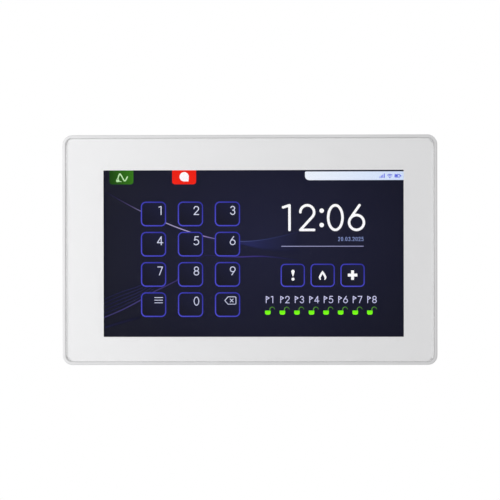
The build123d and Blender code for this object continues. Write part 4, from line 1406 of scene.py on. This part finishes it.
@dataclass(frozen=True)
class KeyPad(SoftKeys):
    """Twelve soft keys: nought to nine, a menu key and an erase key."""

    left: float = -58.3
    top: float = 26.91
    width: float = 13.1
    height: float = 12.8
    radius: float = 2.6
    line: float = 0.62
    grid: Lattice = Lattice(3, 4, 19.15, 15.65)
    figures_x: float = -48.35  # middle of the first column's figures
    figures_top: float = 24.62
    figures_pitch: float = 18.8
    figures: Figures = Figures(4.65, 0.47)

    def build(self) -> list[bpy.types.Object]:
        """Makes the key faces, their outlines, the figures and the two signs."""
        marks, erase, menu = Artwork(), Artwork(), Artwork()
        for place, figure in enumerate("123456789 0"):
            if figure != " ":
                row, column = divmod(place, 3)
                left = self.figures_x + column * self.figures_pitch - self.figures.width(figure) / 2
                self.figures.draw(marks, figure, left, self.base(row))
        last = self.base(3)
        self.draw_menu(menu, (self.figures_x - 0.8, last + 2.85))
        self.draw_erase(erase, (self.figures_x + 2 * self.figures_pitch - 1.25, last + 2.65))
        signs = {"key_figures": marks, "key_menu_sign": menu, "key_erase_sign": erase}
        return [
            *self.frames("key"),
            *[art.shown(name, self.area, Layer.MARK, FIGURE_INK) for name, art in signs.items()],
        ]

    def base(self, row: int) -> float:
        """Height of the lower edge of a row's figures."""
        return self.figures_top - row * self.grid.row_pitch - self.figures.height

    @staticmethod
    def draw_menu(art: Artwork, centre: Point) -> None:
        """Draws three short bars, for the menu key."""
        x, z = centre
        for step in (-1.35, 0.0, 1.35):
            art.stroke([(x - 2.05, z + step), (x + 2.05, z + step)], 0.36)

    @staticmethod
    def draw_erase(art: Artwork, centre: Point) -> None:
        """Draws an arrow-ended box with a cross in it, for the erase key."""
        x, z = centre
        box = [
            (x - 2.85, z),
            *arc((x - 1.05, z - 1.5), 0.4, 225, 270),
            *arc((x + 2.4, z - 1.4), 0.5, 270, 360),
            *arc((x + 2.4, z + 1.4), 0.5, 0, 90),
            *arc((x - 1.05, z + 1.5), 0.4, 90, 135),
        ]
        art.stroke(box, 0.36, True)
        for rise in (-0.75, 0.75):
            art.stroke([(x - 0.05, z - rise), (x + 1.45, z + rise)], 0.38)


@dataclass(frozen=True)
class Clock:
    """The time in large figures, the date and a fine rule below them."""

    area: PictureArea
    base: float = 11.47
    height: float = 14.04
    line: float = 1.32
    figures: tuple[tuple[str, float], ...] = (("1", 14.7), ("2", 23.6), ("0", 38.0), ("6", 48.8))
    colon_x: float = 35.3
    dots_z: Point = (14.65, 22.05)
    dot_radius: float = 1.17
    date: str = "20.03.2025"
    date_place: Point = (43.75, 6.35)  # its lower left
    date_gap: float = 0.45
    date_figures: Figures = Figures(2.15, 0.25, 0.76)
    rule_ends: Point = (14.6, 56.8)
    rule_z: float = 3.67
    rule_line: float = 0.42

    def build(self) -> list[bpy.types.Object]:
        """Makes the time, the date and the rule."""
        time, date, rule = Artwork(), Artwork(), Artwork()
        large = Figures(self.height, self.line)
        for figure, left in self.figures:
            large.draw(time, figure, left, self.base)
        for z in self.dots_z:
            time.disc((self.colon_x, z), self.dot_radius)
        self.date_figures.write(date, self.date, *self.date_place, self.date_gap)
        rule.stroke([(x, self.rule_z) for x in self.rule_ends], self.rule_line)
        return [
            time.shown("clock_figures", self.area, Layer.MARK, WHITE_INK),
            date.shown("date_figures", self.area, Layer.MARK,
                       LitInk("ink_date_blue", "8a9ad0", "8fa0d8")),
            rule.shown("clock_rule", self.area, Layer.LINE,
                       LitInk("ink_rule_lilac", "9a9cc4", "8f90b8", 0)),
        ]


@dataclass(frozen=True)
class AlarmButtons(SoftKeys):
    """Three soft buttons for panic, fire and medical help."""

    left: float = 14.04
    top: float = -5.35
    width: float = 12.55
    height: float = 12.0
    radius: float = 2.3
    line: float = 0.6
    grid: Lattice = Lattice(3, 1, 15.45)

    def build(self) -> list[bpy.types.Object]:
        """Makes the faces, the outlines and the three signs."""
        signs, (x, z), pitch = Artwork(), self.first, self.grid.column_pitch
        self.draw_panic(signs, (x + 0.1, z + 0.15))
        self.draw_flame(signs, (x + pitch - 0.05, z))
        self.draw_cross(signs, (x + 2 * pitch, z + 0.1))
        return [*self.frames("alarm"), signs.shown("alarm_signs", self.area, Layer.MARK, WHITE_INK)]

    @staticmethod
    def draw_panic(art: Artwork, centre: Point) -> None:
        """Draws a tapered stroke over a dot."""
        x, z = centre
        art.polygon([*arc((x, z + 1.85), 0.86, -12, 192), *arc((x, z - 0.45), 0.22, 192, 348)])
        art.disc((x, z - 2.1), 0.78)

    @staticmethod
    def draw_flame(art: Artwork, centre: Point) -> None:
        """Draws a pointed flame, open below."""
        x, z = centre
        outer = smooth_path([(0.0, 2.4), (1.05, 0.95), (1.9, -0.7), (1.8, -1.65), (1.2, -2.4)], 5)
        inner = smooth_path([(0.0, 0.7), (0.5, -0.2), (0.98, -1.15), (0.98, -1.8), (0.8, -2.3)], 5)
        right = [art.spot((x + u, z + v)) for u, v in outer]
        right_in = [art.spot((x + u, z + v)) for u, v in inner]
        left = [right[0], *[art.spot((x - u, z + v)) for u, v in outer[1:]]]
        left_in = [right_in[0], *[art.spot((x - u, z + v)) for u, v in inner[1:]]]
        art.strips((right_in, right), False)
        art.strips((left, left_in), False)

    @staticmethod
    def draw_cross(art: Artwork, centre: Point) -> None:
        """Draws an even-armed cross with slightly rounded ends."""
        x, z = centre
        half, arm, r = 2.45, 0.76, 0.12
        outline = []
        for turn in range(4):
            lean = math.radians(90 * turn)
            for u, v in [(half - r, -arm), (half, -arm + r), (half, arm - r), (half - r, arm), (arm, arm)]:
                outline.append((x + u * math.cos(lean) - v * math.sin(lean),
                                z + u * math.sin(lean) + v * math.cos(lean)))
        art.polygon(outline)


@dataclass(frozen=True)
class AreaRow:
    """Eight alarm areas: a pennant and a number for each, over an open padlock."""

    area: PictureArea
    left: float = 6.36
    base: float = -25.75
    height: float = 3.73
    line: float = 0.4
    pitch: float = 7.49
    locks_x: float = 5.93
    locks_pitch: float = 7.53
    locks_top: float = -29.55
    body: Point = (2.9, 2.15)

    def build(self) -> list[bpy.types.Object]:
        """Makes the pennants, the numbers and the padlocks."""
        numbers, pennant, body, shackle = Artwork(), Artwork(), Artwork(), Artwork()
        figures = Figures(self.height, self.line)
        for number in range(8):
            figures.draw(numbers, str(number + 1), self.left + number * self.pitch + 2.55, self.base)
        half = self.line / 2
        x, low, high = self.left + half, self.base + half, self.base + self.height - half
        pennant.stroke([(x, low), (x, high)], self.line)
        pennant.stroke([(x, high), (x + 1.55, high - 0.85)], self.line)
        pennant.stroke([(x + 1.55, high - 0.85), (x, high - 1.75)], self.line)
        width, height = self.body
        x, z = self.locks_x, self.locks_top
        body.polygon(rounded((x + width / 2, z - height / 2), width, height, (0.95, 0.95, 0.25, 0.25)))
        bow = (x + 3.75, z + 0.55)
        shackle.stroke([(bow[0] - 1.25, z + 0.1), *arc(bow, 1.25, 180, 10)], 0.42)
        area, locks = self.area, Lattice(8, 1, self.locks_pitch)
        lime, moss = LitInk("ink_lime", "84ff22", "6cf010"), LitInk("ink_moss", "5a9a36", "3a6a24", 0)
        return [
            numbers.shown("area_numbers", area, Layer.MARK, AREA_INK),
            pennant.repeated("area_pennants", area, Layer.MARK, AREA_INK, Lattice(8, 1, self.pitch)),
            body.repeated("padlock_bodies", area, Layer.MARK, lime, locks),
            shackle.repeated("padlock_shackles", area, Layer.MARK, moss, locks),
        ]


@dataclass(frozen=True)
class LightWaves:
    """Long thin waves of light that run behind the keys, with pale veils between them."""

    area: PictureArea

    def line(self, name: str, points: Sequence[Point], width: float, finish: Finish) -> bpy.types.Object:
        """Makes one wave as a ribbon through a few points."""
        art = Artwork()
        art.ribbon(smooth_path(points), width)
        return art.shown(name, self.area, Layer.WAVE, finish)

    def build(self) -> list[bpy.types.Object]:
        """Makes the upper, middle and lower waves, their veils and the echoes of the lower one."""
        upper = [(-77.6, 32.6), (-68.4, 27.3), (-58.4, 22.0), (-45.2, 15.8), (-32.7, 11.1), (-20.2, 7.75),
                 (-6.9, 6.27), (5.2, 7.13), (17.9, 9.75), (27.0, 12.2)]
        middle_wave = [(-40.0, -14.1), (-33.0, -7.0), (-26.1, -1.3), (-16.0, -1.7), (-6.3, -1.75),
                       (0.6, -1.5), (6.9, -1.62), (13.8, -2.3), (24.6, -3.92)]
        lower = [(-77.6, -33.1), (-68.5, -29.3), (-58.9, -24.3), (-51.6, -19.8), (-45.6, -16.9),
                 (-40.0, -14.1)]
        pieces = [
            self.line("wave_upper", upper, 0.62, WaveLight("wave_rose", (
                (0.0, "2c2848", 0.0), (0.08, "2c2848", 0.5), (0.17, "4c4470", 0.7), (0.31, "9c96b8", 1.0),
                (0.42, "aaa0cc", 1.0), (0.5, "9a86c0", 1.0), (0.57, "4c5088", 0.9), (0.66, "454a7c", 0.8),
                (0.8, "333a66", 0.5), (1.0, "26294a", 0.0)), 0.55)),
            self.line("wave_middle", middle_wave, 0.9, WaveLight("wave_violet", (
                (0.0, "3c3468", 0.7), (0.2, "2e2a54", 0.25), (0.35, "2e2a58", 0.3), (0.5, "3e3478", 0.9),
                (0.62, "3a3278", 0.8), (0.8, "2e2c5c", 0.45), (1.0, "26264a", 0.0)), 0.6)),
            self.line("wave_lower", lower, 0.85, WaveLight("wave_lilac", (
                (0.0, "37335f", 0.9), (0.4, "403a72", 1.0), (0.6, "3c3468", 1.0), (1.0, "3c3468", 0.6)),
                0.6)),
        ]
        echo = WaveLight("wave_echo", ((0.0, "24244a", 0.35), (0.5, "28284e", 0.8), (1.0, "2a2850", 0.6)),
                         0.7)
        for number in range(5):
            rise = 1.7 * (number + 1)
            path = [(x, z + rise * (1.1 if x < -60 else 0.9)) for x, z in lower[:4]]
            pieces.append(self.line(f"wave_echo_{number + 1}", path, 0.6, echo))
        faint = WaveLight("wave_faint", ((0.0, "20203c", 0.7), (1.0, "20203c", 0.0)), 0.8)
        pieces.append(self.line("wave_faint", [(-77.0, -38.2), (-64.8, -34.6), (-58.5, -33.0)], 1.6, faint))
        pieces.append(self.veil_between())
        return pieces

    def veil_between(self) -> bpy.types.Object:
        """Makes the pale fan that opens to the right of the keys."""
        top = smooth_path([(-45.0, 15.6), (-20.2, 7.65), (-6.9, 6.2), (5.2, 7.0), (24.0, 11.0)])
        low = smooth_path([(-45.0, 13.4), (-20.2, 6.2), (-6.9, 4.5), (5.2, 1.6), (24.0, -0.6)])
        art = Artwork()
        art.veil(low, top)
        return art.shown("wave_veil", self.area, Layer.VEIL, WaveLight("veil_blue", (
            (0.0, "302c50", 0.0), (0.3, "2c2b50", 0.4), (0.6, "282b58", 0.8), (0.8, "26294c", 0.45),
            (1.0, "24263f", 0.0)), 0.35))


@dataclass(frozen=True)
class Picture:
    """Everything that the display shows."""

    window: Point = (155.0, 86.1)  # clear window in the mask, mm
    off_centre: Point = (0.15, 1.4)  # how far the window's middle lies right of and above the display's, mm

    def build(self) -> list[bpy.types.Object]:
        """Finds the window's middle and makes each part of the picture round it."""
        display = middle("display_frame")
        glass = -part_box("display_cell")[0].y / MM
        area = PictureArea(display.x + self.off_centre[0], display.z + self.off_centre[1], glass)
        behind_mask = 0.35
        top, right = self.window[1] / 2 + behind_mask, self.window[0] / 2 + behind_mask
        parts = (
            Backdrop(area),
            StatusTabs(area, top),
            StatusStrip(area, right),
            KeyPad(area),
            Clock(area),
            AlarmButtons(area),
            AreaRow(area),
            LightWaves(area),
        )
        return [piece for part in parts for piece in part.build()]


# Front glass --------------------------------------------------------------------------------------
@dataclass(frozen=True)
class CoverGlass:
    """The front glass, with its front edge rounded and ground all the way round."""

    corner: float = 3.3  # radius of its outline's corners, mm
    edge: float = 0.45  # radius of its front edge, mm
    facets: int = 6  # round that edge

    def build(self) -> list[bpy.types.Object]:
        """Sweeps the edge's profile round the outline and closes both faces."""
        low, high = (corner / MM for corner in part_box("cover_lens"))
        centre, size, front = (low + high) / 2, high - low, -low.y
        profile = [(0.0, -high.y)]
        for facet in range(self.facets + 1):
            turn = math.radians(90 * facet / self.facets)
            profile.append((self.edge * (1 - math.cos(turn)), front - self.edge * (1 - math.sin(turn))))
        shape = bmesh.new()
        rings = []
        for inset, depth in profile:
            outline = rounded((centre.x, centre.z), size.x - 2 * inset, size.z - 2 * inset,
                              (self.corner - inset,) * 4)
            rings.append([shape.verts.new(Vector((x, -depth, z)) * MM) for x, z in outline])
        for outer, inner in zip(rings, rings[1:]):
            for here, ahead in zip(range(len(outer)), (*range(1, len(outer)), 0)):
                face = shape.faces.new((outer[here], outer[ahead], inner[ahead], inner[here]))
                face.smooth = True
        for ring in (rings[0], rings[-1]):
            self.close(shape, ring, Vector((centre.x, ring[0].co.y / MM, centre.z)), size)
        bmesh.ops.recalc_face_normals(shape, faces=shape.faces)
        mesh = bpy.data.meshes.new("cover_glass")
        shape.to_mesh(mesh)
        shape.free()
        glass = carried(new_object("cover_glass", mesh, SLOT_FINISHES["lens"]), FRONT_UNIT)
        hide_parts("cover_lens")
        return [glass]

    def close(self, shape: bmesh.types.BMesh, ring: Sequence[bmesh.types.BMVert], centre: Vector,
              size: Vector) -> None:
        """Fills a flat face with a fan at each corner, so that no triangle is a sliver.

        Args:
            shape: The glass so far.
            ring: The outline's points, corner by corner.
            centre: The face's middle, mm.
            size: The glass's size, mm.
        """
        reach = Vector((size.x / 2 - self.corner, 0.0, size.z / 2 - self.corner))
        hubs = [
            shape.verts.new((centre + Vector((x_side * reach.x, 0.0, z_side * reach.z))) * MM)
            for x_side, z_side in ((-1, -1), (1, -1), (1, 1), (-1, 1))
        ]
        share = len(ring) // 4
        for number, hub in enumerate(hubs):
            bow = ring[number * share:(number + 1) * share]
            for here, ahead in zip(bow, bow[1:]):
                shape.faces.new((hub, here, ahead))
            following = (number + 1) % 4
            shape.faces.new((hub, bow[-1], ring[following * share], hubs[following]))
        shape.faces.new(hubs)


# Inside the keypad --------------------------------------------------------------------------------
@dataclass(frozen=True)
class SmallParts:
    """One kind of small component, in rows on the back of the board."""

    name: str
    first: Point  # x and z of the upper left one, mm
    rows: Lattice
    size: tuple[float, float, float]  # along X, height above the board, along Z, mm
    body: Finish

    def build(self, board: float) -> list[bpy.types.Object]:
        """Makes the bodies and their tinned ends.

        Args:
            board: Depth of the board's back face, mm.

        Returns:
            Two pieces, riding on the front unit.
        """
        (x, z), (long, high, wide) = self.first, self.size
        centre = Vector((x, -board + high / 2, z))
        cap, tuck = long * 0.22, 0.02
        body = blunt_box(self.name, Vector((long - 2 * cap + 4 * tuck, high, wide)), centre, 0.05)
        ends = bmesh.new()
        for side in (-1, 1):
            spot = centre + Vector((side * (long - cap) / 2, 0.0, 0.0))
            end = blunt_box("end", Vector((cap, high + tuck, wide + tuck)), spot, 0.08)
            ends.from_mesh(end)
            bpy.data.meshes.remove(end)
        tips = bpy.data.meshes.new(self.name + "_ends")
        ends.to_mesh(tips)
        ends.free()
        return [
            self.rows.repeat(self.name, body, self.body, "chips"),
            self.rows.repeat(self.name + "_ends", tips, SLOT_FINISHES["tinned"], "tinned"),
        ]


@dataclass(frozen=True)
class BoardDetail:
    """Small components and test pads that fill the board between its large parts."""

    def build(self) -> list[bpy.types.Object]:
        """Makes each kind of component on the board's back face."""
        board = -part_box("main_board")[1].y / MM
        black = MouldedPlastic("resistor_glaze_black", "26262a", "1d1d20", 0.3, 0.2, 0.004, 3.0)
        tan = MouldedPlastic("ceramic_capacitor_tan", "a9825a", "98744f", 0.4, 0.2, 0.006, 3.0)
        kinds = (
            SmallParts("bus_resistors", (-17.6, -20.6), Lattice(5, 2, 3.8, 4.6), (2.0, 0.5, 1.25), black),
            SmallParts("bus_diodes", (2.6, -12.2), Lattice(3, 3, 4.3, 5.2), (2.9, 1.0, 1.6), black),
            SmallParts("bus_capacitors", (2.6, -9.4), Lattice(3, 3, 4.3, 5.2), (1.6, 0.7, 0.8), tan),
            SmallParts("core_capacitors", (-45.4, 18.2), Lattice(6, 1, 2.9), (1.6, 0.7, 0.8), tan),
            SmallParts("core_resistors", (-45.4, -2.6), Lattice(6, 1, 2.9), (1.6, 0.45, 0.8), black),
            SmallParts("radio_capacitors", (27.6, 9.4), Lattice(7, 1, 3.4), (1.6, 0.7, 0.8), tan),
        )
        return [piece for kind in kinds for piece in kind.build(board)]


@dataclass(frozen=True)
class TamperSpring:
    """The conical spring that pushes the tamper plunger out, which in the real keypad stretches when the keypad
    swings.
    """

    wire: float = 0.16  # radius of the wire, mm
    turns: float = 2.5
    taper: float = 1.26  # how much wider the coil is at the board, mm

    def build(self) -> list[bpy.types.Object]:
        """Winds the spring in the space of its plain solid and hides that solid."""
        low, high = (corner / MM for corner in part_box("tamper_spring"))
        centre = middle("tamper_spring")
        wide = min(high.x - centre.x, high.z - centre.z) - self.wire
        inputs = {
            "Turns": self.turns,
            "Start Radius": (wide - self.taper) * MM,
            "End Radius": wide * MM,
            "Height": (high.y - low.y - 2 * self.wire) * MM,
            "Wire": self.wire * MM,
            "Place": Vector((centre.x, high.y - self.wire, centre.z)) * MM,
        }
        seed = bpy.data.meshes.new("spring_seed")
        spring = grown("tamper_spring_coil", seed, coil_tree(), inputs, SLOT_FINISHES["spring_steel"])
        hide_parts("tamper_spring")
        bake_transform(spring)
        return [spring]


# Studio -------------------------------------------------------------------------------------------
@dataclass(frozen=True)
class Softbox:
    """A square studio light that faces the keypad."""

    name: str
    place: Vector  # m
    size: float  # m
    power: float  # W
    target: Vector = Vector((0.0, 0.0, 0.0))

    def build(self) -> None:
        """Hangs the light and turns it to its target."""
        lamp = bpy.data.lights.new(self.name, "AREA")
        lamp.shape, lamp.size, lamp.energy = "SQUARE", self.size, self.power
        light = bpy.data.objects.new(self.name, lamp)
        bpy.context.scene.collection.objects.link(light)
        light.location = self.place
        light.rotation_euler = (self.target - self.place).to_track_quat("-Z", "Y").to_euler()


@dataclass(frozen=True)
class Studio:
    """Camera, lights, white surroundings and a pale floor well below the keypad."""

    camera_place: Vector = Vector((20.69, -1000.0, 4.57)) * MM
    heading: float = -1.1987  # degrees from straight at the wall, to the right
    tilt: float = -0.2703  # degrees upwards
    roll: float = -0.0904
    lens: float = 136.57  # mm, on a 36 mm sensor
    surround: float = 0.62  # light from all round
    mirrored: float = 0.6  # what polished surfaces see of it
    dark_end: float = 0.012  # what they see of the unlit end of the room, behind the reader
    unlit: Point = (-0.75, -0.35)  # where mirrors see it end, as the share of their view that is towards -Y
    floor_z: float = -1.3  # m, the keypad hangs at the height of a hand
    floor_half: float = 6.0  # m

    def build(self) -> None:
        """Sets up the whole studio."""
        bpy.context.scene.view_settings.view_transform = "Standard"
        self.hang_camera()
        self.light_world()
        self.lay_floor()
        for box in (
            Softbox("key_light", Vector((-0.38, -0.5, 0.03)), 0.3, 2.0),
            Softbox("back_light", Vector((0.75, 0.85, 0.7)), 0.6, 7.0),
        ):
            box.build()

    def hang_camera(self) -> None:
        """Places the camera in front of the keypad."""
        camera = bpy.data.cameras.new("camera")
        camera.lens, camera.sensor_width, camera.clip_start = self.lens, 36.0, 0.01
        heading, tilt, roll = (math.radians(angle) for angle in (self.heading, self.tilt, self.roll))
        ahead = Vector(
            (math.sin(heading) * math.cos(tilt), math.cos(heading) * math.cos(tilt), math.sin(tilt))
        )
        level = Vector((math.cos(heading), -math.sin(heading), 0.0))
        above = level.cross(ahead)
        right = level * math.cos(roll) + above * math.sin(roll)
        up = above * math.cos(roll) - level * math.sin(roll)
        holder = bpy.data.objects.new("camera", camera)
        bpy.context.scene.collection.objects.link(holder)
        turn = Matrix((right, up, -ahead)).transposed().to_4x4()
        holder.matrix_world = Matrix.Translation(self.camera_place) @ turn
        bpy.context.scene.camera = holder

    def light_world(self) -> None:
        """Makes the surroundings white to look at, softer as light, and dark behind the reader in mirrors."""
        world = bpy.data.worlds.new("surroundings")
        world.use_nodes = True
        tree = world.node_tree
        tree.nodes.clear()
        path = add_node(tree, "ShaderNodeLightPath")
        way = add_node(
            tree, "ShaderNodeSeparateXYZ", {0: add_node(tree, "ShaderNodeTexCoord").outputs["Generated"]}
        )
        room = add_node(tree, "ShaderNodeMapRange", {
            "Value": way.outputs["Y"],
            "From Min": self.unlit[0],
            "From Max": self.unlit[1],
            "To Min": self.dark_end,
            "To Max": self.mirrored,
        }, interpolation_type="SMOOTHSTEP")
        soft = add_node(tree, "ShaderNodeMix", {
            0: path.outputs["Is Glossy Ray"], 2: self.surround, 3: room.outputs[0]}, data_type="FLOAT")
        seen = add_node(tree, "ShaderNodeMix", {
            0: path.outputs["Is Camera Ray"], 2: soft.outputs[0], 3: 1.0}, data_type="FLOAT")
        light = add_node(
            tree, "ShaderNodeBackground", {"Color": (1.0, 1.0, 1.0, 1.0), "Strength": seen.outputs[0]}
        )
        add_node(tree, "ShaderNodeOutputWorld", {"Surface": light.outputs[0]})
        bpy.context.scene.world = world

    def lay_floor(self) -> None:
        """Lays a pale floor that is not part of the keypad."""
        half = self.floor_half
        mesh = bpy.data.meshes.new("floor")
        corners = [(-half, -half), (half, -half), (half, half), (-half, half)]
        mesh.from_pydata([(x, y, self.floor_z) for x, y in corners], [], [(0, 1, 2, 3)])
        vinyl = MouldedPlastic("floor_vinyl_pale", "fbfbfb", "f7f7f7", 0.6, 4.0, 0.01, 900.0)
        new_object("floor", mesh, vinyl)


def main() -> None:
    """Builds the studio and each part of the keypad's looks in turn."""
    logging.basicConfig(level=logging.INFO, format="%(message)s")
    Studio().build()
    dress_model()
    for assembly in (Picture(), CoverGlass(), BoardDetail(), TamperSpring()):
        for piece in assembly.build():
            LOG.info("%s: %s, %d faces", type(assembly).__name__, piece.name, len(piece.data.polygons))


if __name__ == "__main__":
    main()
